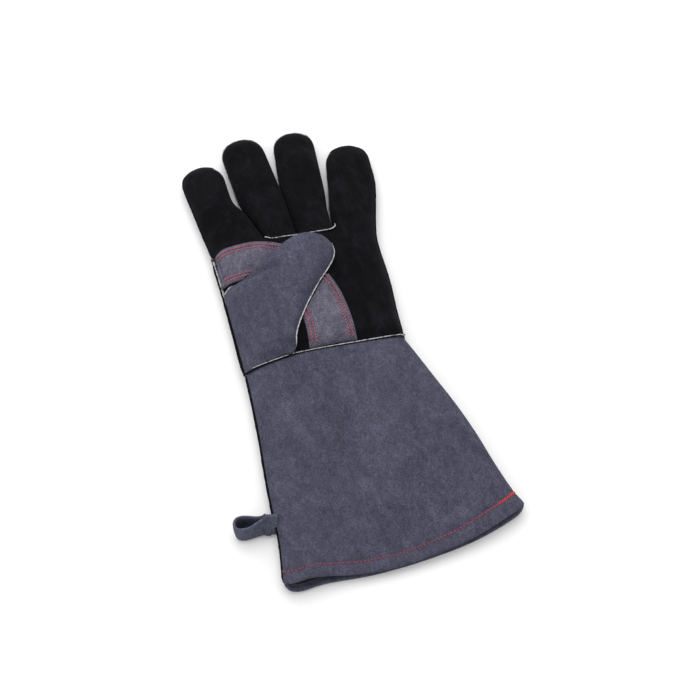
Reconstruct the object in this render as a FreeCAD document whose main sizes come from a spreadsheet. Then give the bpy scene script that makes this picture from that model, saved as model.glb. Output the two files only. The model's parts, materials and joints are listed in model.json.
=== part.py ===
"""Left-hand gauntlet glove of split leather, lying palm up with its thumb folded over the palm.

X runs across the glove towards the little finger, Y along it towards the fingertips, Z up from the
palm. The origin is the middle of the wrist seam, on the surface that the back of the glove lies on.
Every piece of leather is a shell of the real thickness. The hand, the cuff and each digit are hollow,
so that a hand can go in. Lengths are in millimetres and angles in degrees.
"""
import FreeCAD, Part
import math
import os

import Sketcher
from FreeCAD import Placement, Rotation, Vector

SIZES = {
    # leather, lining and the room between them
    "leather": 1.6,
    "lining_thick": 1.0,
    "lay_gap": 0.2,
    "edge_round": 7.5,
    # heights of the flattened, lightly filled parts, and of the pieces along their edges
    "finger_tall": 18.0,
    "hand_tall": 20.0,
    "cuff_tall": 22.0,
    "thumb_tall": 16.5,
    "thumb_lift": 22.4,
    "welt_tall": 4.0,
    "gusset_tall": 10.0,
    # the four fingers: width at the knuckle, radius of the tip, knuckle to tip, lean from +Y
    "index_base": 39.5,
    "index_tip": 17.5,
    "index_reach": 91.0,
    "index_lean": 0.0,
    "middle_base": 32.0,
    "middle_tip": 17.5,
    "middle_reach": 105.5,
    "middle_lean": 2.0,
    "ring_base": 30.0,
    "ring_tip": 16.5,
    "ring_reach": 101.0,
    "ring_lean": 9.0,
    "little_base": 33.5,
    "little_tip": 18.5,
    "little_reach": 83.0,
    "little_lean": 19.0,
    # the thumb: as the fingers, with the middle of its crease and how far its tip is off to one side
    "thumb_base": 79.4,
    "thumb_tip": 19.0,
    "thumb_reach": 85.0,
    "thumb_lean": 70.9,
    "thumb_side": 12.7,
    "thumb_x": -42.0,
    "thumb_y": 42.5,
    "wing_top": 36.5,
    # room at the joints
    "digit_gap": 1.2,
    "root_gap": 0.4,
    "knuckle_gap": 1.2,
    "knuckle_back_gap": 4.5,
    "wrist_gap": 7.0,
    # the hand: where its edges are at the wrist and at the knuckles
    "hand_left_wrist": 64.5,
    "hand_right_wrist": 64.0,
    "hand_left_knuckle": 52.5,
    "hand_right_knuckle": 81.5,
    "knuckle_y": 112.0,
    "thumb_hole": 15.0,
    # the crescent patch round the thumb
    "patch_thick": 1.4,
    "patch_x": -46.0,
    "patch_y": 41.5,
    "patch_outer": 68.5,
    "patch_inner": 40.0,
    "patch_foot": 1.6,
    # the cuff and its turned-in hem
    "cuff_wrist_half": 64.5,
    "cuff_hem_half": 94.4,
    "cuff_corner_y": 168.0,
    "hem_radius": 337.0,
    "hem_deep": 12.5,
    # welts, stitches and the hanging loop
    "welt_half": 1.0,
    "welt_proud": 0.8,
    "stitch_long": 3.0,
    "stitch_pitch": 4.2,
    "stitch_wide": 0.8,
    "stitch_tall": 0.4,
    "stitch_inset": 3.5,
    "stitch_rows": 3.0,
    "loop_gap": 4.2,
    "loop_y": -116.5,
    "loop_heading": 162.0,
    "loop_long": 30.0,
    "loop_half": 7.0,
    "loop_tall": 17.0,
    "loop_lift": 2.0,
    "loop_thick": 1.8,
}
REACH = 400.0  # larger than the glove, for the blocks that trim it
DIGITS = ("index", "middle", "ring", "little")

doc = FreeCAD.newDocument("heat_resistant_glove")
sheet = doc.addObject("Spreadsheet::Sheet", "sizes")
for row, (alias, value) in enumerate(SIZES.items(), 1):
    sheet.set(f"A{row}", alias)
    sheet.set(f"B{row}", str(value))
    sheet.setAlias(f"B{row}", alias)
doc.recompute()


def size(alias):
    """A driving dimension, read back from the sheet."""
    return float(sheet.get(alias))


def cell(alias):
    """A driving dimension, as an expression refers to it."""
    return f"sizes.{alias}"


def bind(thing, **sizes):
    """Binds properties to expressions; a double underscore in a name stands for a dot."""
    for prop, expression in sizes.items():
        thing.setExpression(prop.replace("__", "."), str(expression))
    return thing


def bind_sketch(sketch, names):
    """Binds the named constraints of a sketch to expressions."""
    for name, expression in names.items():
        sketch.setExpression(f"Constraints.{name}", expression)


# ---------------------------------------------------------------- outlines

def add_constraint(sketch, name, *what):
    number = sketch.addConstraint(Sketcher.Constraint(*what))
    if name:
        sketch.renameConstraint(number, name)


def digit_outline(digit):
    """A finger seen from above: a straight base, two sides and a round tip, about its own Y axis."""

    def draw(sketch, inset):
        half = size(f"{digit}_base") / 2
        tip = size(f"{digit}_tip")
        back = 2 * size("edge_round")
        middle = size(f"{digit}_reach") - tip
        side = size(f"{digit}_side") if digit == "thumb" else 0.0
        start, end = Vector(-half, -back, 0), Vector(half, -back, 0)
        circle = Part.Circle(Vector(-side, middle, 0), Vector(0, 0, 1), tip)
        sketch.addGeometry(Part.LineSegment(start, end))
        sketch.addGeometry(Part.LineSegment(end, Vector(tip - side, middle, 0)))
        sketch.addGeometry(Part.ArcOfCircle(circle, 0, math.pi))
        sketch.addGeometry(Part.LineSegment(Vector(-tip - side, middle, 0), start))
        add_constraint(sketch, "", "Coincident", 0, 2, 1, 1)
        add_constraint(sketch, "", "Coincident", 3, 2, 0, 1)
        add_constraint(sketch, "", "Tangent", 1, 2, 2, 1)
        add_constraint(sketch, "", "Tangent", 2, 2, 3, 1)
        add_constraint(sketch, "", "Symmetric", 0, 1, 0, 2, -2)
        if side:
            add_constraint(sketch, "side", "DistanceX", 2, 3, -1, 1, side)
            bind_sketch(sketch, {"side": cell(f"{digit}_side")})
        else:
            add_constraint(sketch, "", "PointOnObject", 2, 3, -2)
        add_constraint(sketch, "base", "DistanceX", 0, 1, 0, 2, 2 * half)
        add_constraint(sketch, "back", "DistanceY", 0, 1, -1, 1, back)
        add_constraint(sketch, "tip", "Radius", 2, tip)
        add_constraint(sketch, "middle", "DistanceY", -1, 1, 2, 3, middle)
        bind_sketch(sketch, {
            "base": f"{cell(digit + '_base')} - {cell('digit_gap')} - 2 * ({inset})",
            "back": f"2 * {cell('edge_round')}",
            "tip": f"{cell(digit + '_tip')} - ({inset})",
            "middle": f"{cell(digit + '_reach')} - {cell(digit + '_tip')}",
        })

    return draw


def four_sides(sketch, corners, names, arc_bottom=None):
    """A closed outline of four corners, bottom left first and anticlockwise.

    Each corner is placed by its own two distances from the origin. The bottom side may be an arc.
    """
    points = [Vector(x, y, 0) for x, y in corners]
    for number in range(4):
        start, end = points[number], points[(number + 1) % 4]
        if number == 0 and arc_bottom:
            middle = Vector(0, (start.y + end.y) / 2 - arc_bottom, 0)
            sketch.addGeometry(Part.Arc(start, middle, end))
        else:
            sketch.addGeometry(Part.LineSegment(start, end))
    for number in range(4):
        add_constraint(sketch, "", "Coincident", number, 2, (number + 1) % 4, 1)
    for number, (x, y) in enumerate(corners):
        across = (number, 1, -1, 1) if x < 0 else (-1, 1, number, 1)
        along = (number, 1, -1, 1) if y < 0 else (-1, 1, number, 1)
        add_constraint(sketch, f"x{number}_", "DistanceX", *across, abs(x))
        add_constraint(sketch, f"y{number}_", "DistanceY", *along, abs(y))
        bind_sketch(sketch, {f"x{number}_": names[number][0], f"y{number}_": names[number][1]})


HAND_BACK = 30.0  # the hand's block reaches this far past the wrist and the knuckles, then is trimmed


def hand_outline(sketch, inset):
    """The palm seen from above: it widens from the wrist to the knuckles."""
    left, right = size("hand_left_wrist"), size("hand_right_wrist")
    far_left, far_right = size("hand_left_knuckle"), size("hand_right_knuckle")
    top = size("knuckle_y") + HAND_BACK
    names = [
        (f"{cell('hand_left_wrist')} - ({inset})", f"{HAND_BACK}"),
        (f"{cell('hand_right_wrist')} - ({inset})", f"{HAND_BACK}"),
        (f"{cell('hand_right_knuckle')} - ({inset})", f"{cell('knuckle_y')} + {HAND_BACK}"),
        (f"{cell('hand_left_knuckle')} - ({inset})", f"{cell('knuckle_y')} + {HAND_BACK}"),
    ]
    four_sides(sketch, [(-left, -HAND_BACK), (right, -HAND_BACK), (far_right, top), (-far_left, top)], names)


def cuff_outline(sketch, inset):
    """The cuff seen from above: it flares from the wrist to a hem that bows outwards."""
    wrist, hem, low = size("cuff_wrist_half"), size("cuff_hem_half"), size("cuff_corner_y")
    bow = size("hem_radius") - math.sqrt(size("hem_radius") ** 2 - hem ** 2)
    mouth = "0" if inset == "0" else cell("hem_deep")
    names = [
        (f"{cell('cuff_hem_half')} - ({inset})", f"{cell('cuff_corner_y')} + {mouth}"),
        (f"{cell('cuff_hem_half')} - ({inset})", f"{cell('cuff_corner_y')} + {mouth}"),
        (f"{cell('cuff_wrist_half')} - ({inset})", "0"),
        (f"{cell('cuff_wrist_half')} - ({inset})", "0"),
    ]
    four_sides(sketch, [(-hem, -low), (hem, -low), (wrist, 0.0), (-wrist, 0.0)], names, arc_bottom=bow)
    add_constraint(sketch, "hem", "Radius", 0, size("hem_radius"))
    bind_sketch(sketch, {"hem": cell("hem_radius")})


# ---------------------------------------------------------------- solids

def pillow(name, outline, tall, inset, round_ends, lift="0"):
    """A filled-out solid: an outline raised to a height, with its long edges rounded."""
    body = doc.addObject("PartDesign::Body", name)
    sketch = body.newObject("Sketcher::SketchObject", name + "_outline")
    plane = next(f for f in body.Origin.OriginFeatures if f.Role == "XY_Plane")
    sketch.AttachmentSupport = (plane, "")
    sketch.MapMode = "FlatFace"
    sketch.setExpression("AttachmentOffset.Base.z", f"({lift}) + ({inset})")
    outline(sketch, inset)
    pad = body.newObject("PartDesign::Pad", name + "_pad")
    pad.Profile = sketch
    pad.setExpression("Length", f"{cell(tall)} - 2 * ({inset})")
    doc.recompute()
    box = pad.Shape.BoundBox
    edges = []
    for number, edge in enumerate(pad.Shape.Edges, 1):
        flat = edge.BoundBox.ZLength < 0.01
        along = edge.Curve.TypeId == "Part::GeomLine" and edge.BoundBox.YLength > 0.2 * box.YLength
        if flat and (round_ends or along):
            edges.append(f"Edge{number}")
    fillet = body.newObject("PartDesign::Fillet", name + "_rounding")
    fillet.Base = (pad, edges)
    fillet.setExpression("Radius", f"{cell('edge_round')} - ({inset})")
    body.Tip = fillet
    doc.recompute()
    return body


def block(name, low, high):
    """A plain box between two corners, whose sizes may be numbers or expressions."""
    box = doc.addObject("Part::Box", name)
    for axis, side, start, end in zip("xyz", ("Length", "Width", "Height"), low, high):
        bind(box, **{f"Placement__Base__{axis}": start, side: f"({end}) - ({start})"})
    return box


def boolean(kind, name, first, second, label=None):
    """One Part boolean of two objects. A label makes it a sub-part."""
    made = doc.addObject(f"Part::{kind}", name)
    if kind in ("Cut", "Common", "Fuse"):
        made.Base, made.Tool = first, second
    else:
        made.Shapes = [first, *second]
    if label:
        made.Label = label
        PARTS.append(made)
    return made


PARTS = []
LEATHER = cell("leather")
LINING_OUT = f"{cell('leather')} + {cell('lay_gap')}"
LINING_IN = f"{LINING_OUT} + {cell('lining_thick')}"


def strip(tall, high, lift="0"):
    """The heights between which an edge piece of some height runs."""
    middle = f"({lift}) + {cell(tall)} / 2"
    return f"{middle} - {cell(high)} / 2", f"{middle} + {cell(high)} / 2"


def shells(name, outline, tall, round_ends, lift="0"):
    """The leather shell and the lining shell of one hollow part, and the solids they were made from."""
    solids = [pillow(f"{name}_{layer}", outline, tall, inset, round_ends, lift)
              for layer, inset in (("outside", "0"), ("inside", LEATHER),
                                   ("lining_outside", LINING_OUT), ("lining_inside", LINING_IN))]
    leather = boolean("Cut", f"{name}_leather_shell", solids[0], solids[1])
    lining = boolean("Cut", f"{name}_lining_shell", solids[2], solids[3])
    return leather, lining, solids


def split_shell(name, shell, tall, lift, ends, edges):
    """Cuts a shell into edge pieces, given as (label, side, height), and the upper and lower panels."""
    start, end = ends
    spans = []
    for label, side, high in edges:
        low, top = strip(tall, high, lift)
        across = (-REACH, "0") if side == "left" else ("0", REACH)
        spans.append(block(label + "_span", (across[0], start, low), (across[1], end, top)))
        boolean("Common", label, shell, spans[-1], label)
    band = spans[0] if len(spans) == 1 else boolean("MultiFuse", name + "_edge_band", spans[0], spans[1:])
    panels = boolean("Cut", name + "_panels", shell, band)
    middle = f"({lift}) + {cell(tall)} / 2"
    upper = block(name + "_upper_span", (-REACH, start, middle), (REACH, end, REACH))
    lower = block(name + "_lower_span", (-REACH, start, "-1"), (REACH, end, middle))
    return [boolean("Common", f"{name}_{part}", panels, span)
            for part, span in (("upper", upper), ("lower", lower))]


def digit(name, tall, lift, middle, lean, names, edges):
    """One digit: its two panels, the pieces along its sides and its lining, hinged at its base line."""
    first = len(PARTS)
    leather, lining, _ = shells(name, digit_outline(name), tall, True, lift)
    ends = (cell("root_gap"), REACH)
    upper, lower = split_shell(name, leather, tall, lift, ends, edges)
    for label, panel in zip(names, (upper, lower)):
        panel.Label = label
        PARTS.append(panel)
    span = block(name + "_lining_span", (-REACH, ends[0], "-1"), (REACH, REACH, REACH))
    boolean("Common", name + "_lining", lining, span, name + "_lining")
    for piece in PARTS[first:]:
        piece.Placement = Placement(middle, Rotation(Vector(0, 0, 1), -lean))


def knuckles():
    """The middle of each finger's base line: the lines follow each other across the hand."""
    corner = Vector(-size("hand_left_knuckle"), size("knuckle_y"), 0)
    found = {}
    for name in DIGITS:
        lean = math.radians(size(f"{name}_lean"))
        across = Vector(math.cos(lean), -math.sin(lean), 0) * size(f"{name}_base")
        found[name] = corner + across / 2
        corner = corner + across
    return found


def knuckle_cutter(name, gap):
    """Everything past the fingers' base lines, less a gap: one wide block for each finger."""
    blocks = []
    for finger, middle in knuckles().items():
        wide = doc.addObject("Part::Box", f"{name}_{finger}")
        wide.Length, wide.Width, wide.Height = 2 * REACH, REACH, REACH
        turn = Rotation(Vector(0, 0, 1), -size(f"{finger}_lean"))
        wide.Placement = Placement(middle + turn.multVec(Vector(-REACH, -size(gap), -1)), turn)
        blocks.append(wide)
    return boolean("MultiFuse", name, blocks[0], blocks[1:])


def outline_pad(label, edges, tall, lift):
    """A flat plate: its outline is straight lines and arcs, and an arc is given a point on its way."""
    body = doc.addObject("PartDesign::Body", label)
    sketch = body.newObject("Sketcher::SketchObject", label + "_outline")
    plane = next(f for f in body.Origin.OriginFeatures if f.Role == "XY_Plane")
    sketch.AttachmentSupport = (plane, "")
    sketch.MapMode = "FlatFace"
    sketch.setExpression("AttachmentOffset.Base.z", lift)
    for start, via, end in edges:
        sketch.addGeometry(Part.Arc(start, via, end) if via else Part.LineSegment(start, end))
    for number in range(len(edges)):
        add_constraint(sketch, "", "Block", number)
    pad = body.newObject("PartDesign::Pad", label + "_pad")
    pad.Profile = sketch
    pad.setExpression("Length", tall)
    body.Tip = pad
    return body


def row_of_stitches(at, long, height, pitch=None):
    """Small blocks of thread along a path; at(distance) gives a place and a direction in degrees."""
    wide, tall = size("stitch_wide"), size("stitch_tall")
    solids = []
    count = int(long / (pitch or size("stitch_pitch")))
    for number in range(count):
        place, heading = at((number + 0.5) * long / count)
        stitch = Part.makeBox(size("stitch_long"), wide, tall, Vector(-size("stitch_long") / 2, -wide / 2, 0))
        stitch.Placement = Placement(Vector(place.x, place.y, height), Rotation(Vector(0, 0, 1), heading))
        solids.append(stitch)
    return solids


def feature(label, shape):
    """A sub-part whose shape is set directly."""
    made = doc.addObject("Part::Feature", label)
    made.Label = label
    made.Shape = shape
    PARTS.append(made)
    return made


# ---------------------------------------------------------------- the glove

def make_fingers():
    edges = {
        "index": (("index_side_welt", "left", "welt_tall"),
                  ("index_fourchette", "right", "gusset_tall")),
        "middle": (("middle_fourchette_index_side", "left", "gusset_tall"),
                   ("middle_fourchette_ring_side", "right", "gusset_tall")),
        "ring": (("ring_fourchette_middle_side", "left", "gusset_tall"),
                 ("ring_fourchette_little_side", "right", "gusset_tall")),
        "little": (("little_fourchette", "left", "gusset_tall"),
                   ("little_side_welt", "right", "welt_tall")),
    }
    for name, middle in knuckles().items():
        names = (f"{name}_front", f"{name}_back")
        digit(name, "finger_tall", "0", middle, size(f"{name}_lean"), names, edges[name])


def make_thumb():
    middle = Vector(size("thumb_x"), size("thumb_y"), 0)
    digit("thumb", "thumb_tall", cell("thumb_lift"), middle, size("thumb_lean"),
          ("thumb_outer", "thumb_inner"), (("thumb_welt", "right", "welt_tall"),))


def make_hand():
    leather, lining, _ = shells("hand", hand_outline, "hand_tall", False)
    welt = cell("welt_half")
    over = knuckle_cutter("past_the_palm", "knuckle_gap")
    under = knuckle_cutter("past_the_back", "knuckle_back_gap")
    hole = doc.addObject("Part::Cylinder", "thumb_hole_cutter")
    bind(hole, Radius=cell("thumb_hole"), Height=cell("hand_tall"), Placement__Base__x=cell("thumb_x"),
         Placement__Base__y=cell("thumb_y"), Placement__Base__z=f"{cell('hand_tall')} / 2")
    ends = (welt, REACH)
    trimmed = boolean("Cut", "hand_trimmed", leather, under)
    edges = (("hand_side_welt_thumb_side", "left", "welt_tall"),
             ("hand_side_welt_little_side", "right", "welt_tall"))
    _, lower = split_shell("hand", trimmed, "hand_tall", "0", ends, edges)
    lower.Label = "hand_back"
    PARTS.append(lower)
    _, high = strip("hand_tall", "welt_tall")
    whole = boolean("Common", "palm_whole", leather, block("palm_span", (-REACH, welt, high), (REACH,) * 3))
    palm = boolean("Cut", "palm_trimmed", whole, over)
    boolean("Cut", "palm_panel", palm, hole, "palm_panel")
    half = f"{cell('hand_tall')} / 2"
    layers = (("palm_lining", half, REACH), ("hand_back_lining", "-1", half))
    for label, start, end in layers:
        layer = boolean("Common", label + "_whole", lining, block(label + "_span", (-REACH, welt, start),
                                                                  (REACH, REACH, end)))
        if label == "palm_lining":
            layer = boolean("Cut", label + "_holed", layer, hole)
        boolean("Cut", label, layer, under, label)
    for label, start, end in (("wrist_welt_front", half, REACH), ("wrist_welt_back", "-1", half)):
        span = block(label + "_span", (-REACH, f"-{welt}", start), (REACH, welt, end))
        boolean("Common", label, leather, span, label)


def make_knuckle_welt():
    """The piping along the seam at the foot of the two middle fingers, on top of the palm."""
    middles = knuckles()
    bars = []
    for name in ("middle", "ring"):
        long, wide = size(f"{name}_base"), 2 * size("welt_half")
        corner = Vector(-long / 2, -wide - size("knuckle_gap"), size("hand_tall"))
        bar = Part.makeBox(long, wide, size("welt_proud"), corner)
        bar.Placement = Placement(middles[name], Rotation(Vector(0, 0, 1), -size(f"{name}_lean")))
        bars.append(bar)
    feature("knuckle_welt", bars[0].fuse(bars[1]).removeSplitter())


def patch_centre():
    return Vector(size("patch_x"), size("patch_y"), 0)


def make_patch():
    """The crescent: a quarter ring round the thumb's base, with a leg down to the wrist."""
    centre, foot = patch_centre(), size("patch_foot")
    slope = math.sqrt(0.5)
    outer, inner = ([centre + Vector(x, y, 0) * size(radius) for x, y in ((0, 1), (slope, slope), (1, 0))]
                    for radius in ("patch_outer", "patch_inner"))
    edges = [
        (Vector(inner[2].x - 4, foot, 0), None, Vector(outer[2].x + 2, foot, 0)),
        (Vector(outer[2].x + 2, foot, 0), None, outer[2]),
        (outer[2], outer[1], outer[0]),
        (outer[0], None, inner[0]),
        (inner[0], inner[1], inner[2]),
        (inner[2], None, Vector(inner[2].x - 4, foot, 0)),
    ]
    PARTS.append(outline_pad("palm_patch", edges, cell("patch_thick"), cell("hand_tall")))


def make_patch_stitching():
    """Two rows of thread beside each long edge of the patch."""
    centre = patch_centre()
    height = size("hand_tall") + size("patch_thick")
    leg = centre.y - size("patch_foot") - size("stitch_inset")
    solids = []
    for edge, sign, drift in (("patch_outer", -1, 2), ("patch_inner", 1, -4)):
        for row in (0, 1):
            radius = size(edge) + sign * (size("stitch_inset") + row * size("stitch_rows"))

            def on_arc(distance):
                angle = math.pi / 2 - distance / radius
                return centre + Vector(math.cos(angle), math.sin(angle), 0) * radius, math.degrees(angle) - 90

            def on_leg(distance):
                return centre + Vector(radius + drift * distance / leg, -distance, 0), 90

            solids += row_of_stitches(on_arc, radius * math.pi / 2, height)
            solids += row_of_stitches(on_leg, leg, height)
    feature("patch_stitching", Part.makeCompound(solids))


def tent(name, inset, past):
    """A solid that leans in from the glove's edge and the wrist to a ridge along the thumb's crease."""
    turn = Rotation(Vector(0, 0, 1), -size("thumb_lean"))
    middle = Vector(size("thumb_x"), size("thumb_y"), 0)
    half = size("thumb_base") / 2
    floor, top = size("hand_tall") + size("lay_gap"), size("wing_top") - inset
    foot_y = size("patch_foot") + 3 + inset
    crease = [middle + turn.multVec(Vector(x, past, 0)) for x in (-half + inset, half - 2 * inset)]
    edge_x = -size("hand_left_wrist") + 1.5 + inset
    low = [crease[0], Vector(edge_x, foot_y, 0), Vector(crease[1].x, foot_y, 0), crease[1]]
    ridge = [middle + turn.multVec(Vector(x, y, 0))
             for x, y in ((-half + 8 + inset, past), (-half + 12 + inset, -3.5), (half - 16 - inset, -3.5),
                          (half - 12 - inset, past))]
    rings = []
    for number, (points, height) in enumerate(((low, floor - (inset and 1)), (ridge, top))):
        ring = doc.addObject("Part::Polygon", f"{name}_ring_{number}")
        ring.Nodes = [Vector(p.x, p.y, height) for p in points]
        ring.Close = True
        rings.append(ring)
    loft = doc.addObject("Part::Loft", name)
    loft.Sections, loft.Solid, loft.Ruled = rings, True, True
    return loft


def make_thumb_wing():
    """The part of the thumb's leather that is sewn down between the glove's edge and the crease."""
    outside = tent("thumb_wing_outside", 0, -size("root_gap") - 0.6)
    inside = tent("thumb_wing_inside", size("leather"), 2.0)
    boolean("Cut", "thumb_wing", outside, inside, "thumb_wing")


def make_cuff():
    """One panel wrapped round from a seam on the thumb side, with its hem turned in, and a lining."""
    leather, lining, solids = shells("cuff", cuff_outline, "cuff_tall", False)
    inner = pillow("cuff_hem_inside", cuff_outline, "cuff_tall", f"2 * {LEATHER}", False)
    turned = boolean("Cut", "cuff_hem_turned_in", solids[1], inner)
    hem_span = block("cuff_hem_span", (-REACH, -REACH, "-1"), (REACH, f"{cell('hem_deep')} - 181.5", REACH))
    hem = boolean("Common", "cuff_hem_band", boolean("Common", "cuff_hem_whole", turned, solids[0]), hem_span)
    doubled = boolean("Fuse", "cuff_doubled_shell", leather, hem)
    ends = (-REACH, f"-{cell('wrist_gap')}")
    low, high = strip("cuff_tall", "welt_tall")
    seam_span = block("cuff_side_welt_span", (-REACH, ends[0], low), ("0", ends[1], high))
    boolean("Common", "cuff_side_welt", doubled, seam_span, "cuff_side_welt")
    panel_span = block("cuff_panel_span", (-REACH, ends[0], "-1"), (REACH, ends[1], REACH))
    whole = boolean("Common", "cuff_whole", doubled, panel_span)
    boolean("Cut", "cuff_panel", whole, seam_span, "cuff_panel")
    start = f"-{cell('cuff_corner_y')} + 1"
    boolean("Common", "cuff_lining", lining, block("cuff_lining_span", (-REACH, start, "-1"),
                                                   (REACH, ends[1], REACH)), "cuff_lining")


def hem_path(half, inner):
    """Along the hem, from the thumb side: the place and direction at a distance, and the whole length."""
    radius = size("hem_radius")
    centre = Vector(0, math.sqrt(radius ** 2 - size("cuff_hem_half") ** 2) - size("cuff_corner_y"), 0)
    span = 2 * math.asin(half / inner)

    def at(distance):
        angle = -math.pi / 2 - span / 2 + distance / inner
        return centre + Vector(math.cos(angle), math.sin(angle), 0) * inner, math.degrees(angle) + 90

    return at, span * inner


def make_hem_stitching():
    """One row of thread across the front of the cuff, and the bar tack at its little-finger end."""
    half = size("cuff_hem_half") - 2 * size("edge_round")
    at, long = hem_path(half, size("hem_radius") - size("hem_deep") + 2)
    feature("hem_stitching", Part.makeCompound(row_of_stitches(at, long - 8, size("cuff_tall"))))
    place, heading = at(long)

    def tack(distance):
        return place + Vector(-distance / 4, distance - 3, 0), heading

    feature("hem_bar_tack", Part.makeCompound(row_of_stitches(tack, 7, size("cuff_tall"), 1.4)))


def teardrop(half, start, tall):
    """A solid with the loop's outline: round at the far end and pointed at its root."""
    centre = size("loop_long") - size("loop_half")
    touch = math.pi - math.acos(half / (centre - start))
    root = Vector(start, 0, 0)
    upper = Vector(centre + half * math.cos(touch), half * math.sin(touch), 0)
    lower = Vector(upper.x, -upper.y, 0)
    wire = Part.Wire([Part.LineSegment(root, upper).toShape(),
                      Part.Arc(upper, Vector(centre + half, 0, 0), lower).toShape(),
                      Part.LineSegment(lower, root).toShape()])
    return Part.Face(wire).extrude(Vector(0, 0, tall))


def make_loop():
    """A strap bent round on itself, standing on its edge beside the cuff, and its end sewn into the seam."""
    thick, tall, lift = size("loop_thick"), size("loop_tall"), size("loop_lift")
    flare = (size("cuff_hem_half") - size("cuff_wrist_half")) / size("cuff_corner_y")
    edge = Vector(-size("cuff_wrist_half") + size("loop_y") * flare, size("loop_y"), 0)
    strap = teardrop(size("loop_half"), 0.0, tall).cut(teardrop(size("loop_half") - thick, 3.5, tall))
    loop = feature("hang_loop", strap)
    turn = Rotation(Vector(0, 0, 1), size("loop_heading"))
    loop.Placement = Placement(edge + Vector(-size("loop_gap"), 0, lift), turn)
    clear = size("root_gap") + size("lay_gap")
    end = Part.makeBox(size("loop_gap") - 2 * clear, 3 * thick, tall - 4,
                       Vector(clear - size("loop_gap"), -1.5 * thick, lift + 2))
    held = feature("hang_loop_end", end)
    held.Placement = Placement(edge, Rotation())


def check_and_write():
    """Stops if anything failed, then writes each sub-part to its own file."""
    doc.recompute()
    for thing in doc.Objects:
        if {"Invalid", "Error"} & set(thing.State):
            raise SystemExit(f"{thing.Name} failed: {thing.State}")
    os.makedirs("parts", exist_ok=True)
    for piece in PARTS:
        shape = piece.Shape
        if shape.isNull() or not shape.isValid() or not shape.Solids:
            raise SystemExit(f"{piece.Label} has no valid solid")
        shape.exportStep(os.path.join("parts", piece.Label + ".step"))
        print(f"{piece.Label:32s} {len(shape.Solids):3d} solids {shape.Volume:10.1f} mm3")


make_fingers()
make_thumb()
make_hand()
make_knuckle_welt()
make_patch()
make_patch_stitching()
make_thumb_wing()
make_cuff()
make_hem_stitching()
make_loop()
check_and_write()
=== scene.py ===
"""The looks of a left-hand suede gauntlet glove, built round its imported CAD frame.

The glove lies palm up with its thumb folded over the palm. X runs across it towards the little finger,
Y along it towards the fingertips and Z up. Shapes are worked out in millimetres and made in metres.
"""

import json
import math

import bpy
import numpy as np
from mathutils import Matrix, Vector, noise
from mathutils.bvhtree import BVHTree


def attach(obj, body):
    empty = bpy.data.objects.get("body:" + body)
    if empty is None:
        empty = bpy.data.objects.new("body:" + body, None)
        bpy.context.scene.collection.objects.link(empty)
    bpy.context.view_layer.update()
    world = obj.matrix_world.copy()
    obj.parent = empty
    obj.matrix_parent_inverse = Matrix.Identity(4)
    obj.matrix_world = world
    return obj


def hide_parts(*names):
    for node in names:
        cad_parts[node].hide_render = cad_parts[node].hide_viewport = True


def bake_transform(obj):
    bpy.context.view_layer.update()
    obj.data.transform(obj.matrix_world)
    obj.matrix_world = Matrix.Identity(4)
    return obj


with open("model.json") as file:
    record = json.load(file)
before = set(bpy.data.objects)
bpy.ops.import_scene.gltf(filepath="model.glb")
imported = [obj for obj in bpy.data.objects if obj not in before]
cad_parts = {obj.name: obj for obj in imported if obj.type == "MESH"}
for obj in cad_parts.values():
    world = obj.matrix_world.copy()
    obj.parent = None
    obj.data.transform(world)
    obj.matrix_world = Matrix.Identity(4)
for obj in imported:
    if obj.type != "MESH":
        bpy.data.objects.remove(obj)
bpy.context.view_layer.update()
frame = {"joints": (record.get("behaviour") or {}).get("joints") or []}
MM = 0.001
JOINTS = {joint["name"]: joint for joint in frame["joints"]}

# ---------------- driving sizes, in mm
STEP = 3.0  # size of the faces before they are subdivided
LEATHER = 1.5  # thickness of the leather
LINING_DEPTH = 2.2  # how far the lining lies inside the outer face of the leather
LINING_THICKNESS = 0.8
FLOOR_GAP = 0.5  # height of the lowest leather over the floor
EDGE_Z = 8.5  # height of the seams along the glove's sides
GUSSET = 10.5  # height of the strips between the fingers, half way up
CROTCH = 8.1  # half the height of those strips at their feet
CROWN = 10.5  # how high the front stands above its edges
BELLY = 8.0  # how far the back hangs below its edges
SOFTNESS = 13.0  # how fast the front reaches its full height, away from an edge
DOME_GAIN = 1.35  # makes up for what the softness takes from the full height
WRIST_RISE, WRIST_DROP = 9.3, 7.6  # how far the wrist seam stands above and below the sides
CALM_REACH = 9.0  # how far the leather beside the wrist seam stays flat
CALM_SHARE = 0.3  # how much of its bulge is left right beside the seam
TIP_CORNER = math.radians(45)  # where a finger's side grid meets its tip, from straight ahead
WELT_STEP = 2.0  # distance between the rings of a strip along a seam
STITCH_SLANT = 0.5  # how far the ends of a stitch lie off its row
WORLD_UP = np.array([0.0, 0.0, 1.0])


# ---------------- curves in the plane

def spline(points, count):
    """A smooth curve through the points, as evenly spaced points along it."""
    p = np.array(points, float)
    if len(p) == 2:
        return between(p[0], p[1], count)
    first, last = 2 * p[0] - p[1], 2 * p[-1] - p[-2]
    q = np.vstack([first, p, last])
    fine = []
    for a, b, c, d in zip(q[:-3], q[1:-2], q[2:-1], q[3:]):
        t = np.linspace(0, 1, 24, endpoint=False)[:, None]
        fine.append(0.5 * (2 * b + (c - a) * t + (2 * a - 5 * b + 4 * c - d) * t ** 2
                           + (3 * b - a - 3 * c + d) * t ** 3))
    fine = np.vstack(fine + [p[-1:]])
    return resample(fine, count)


def between(start, stop, count):
    """Evenly spaced points on a straight line."""
    t = np.linspace(0, 1, count)[:, None]
    return start * (1 - t) + stop * t


def distances(line):
    """How far along a polyline each of its points is."""
    return np.concatenate([[0], np.cumsum(np.linalg.norm(np.diff(line, axis=0), axis=1))])


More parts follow.
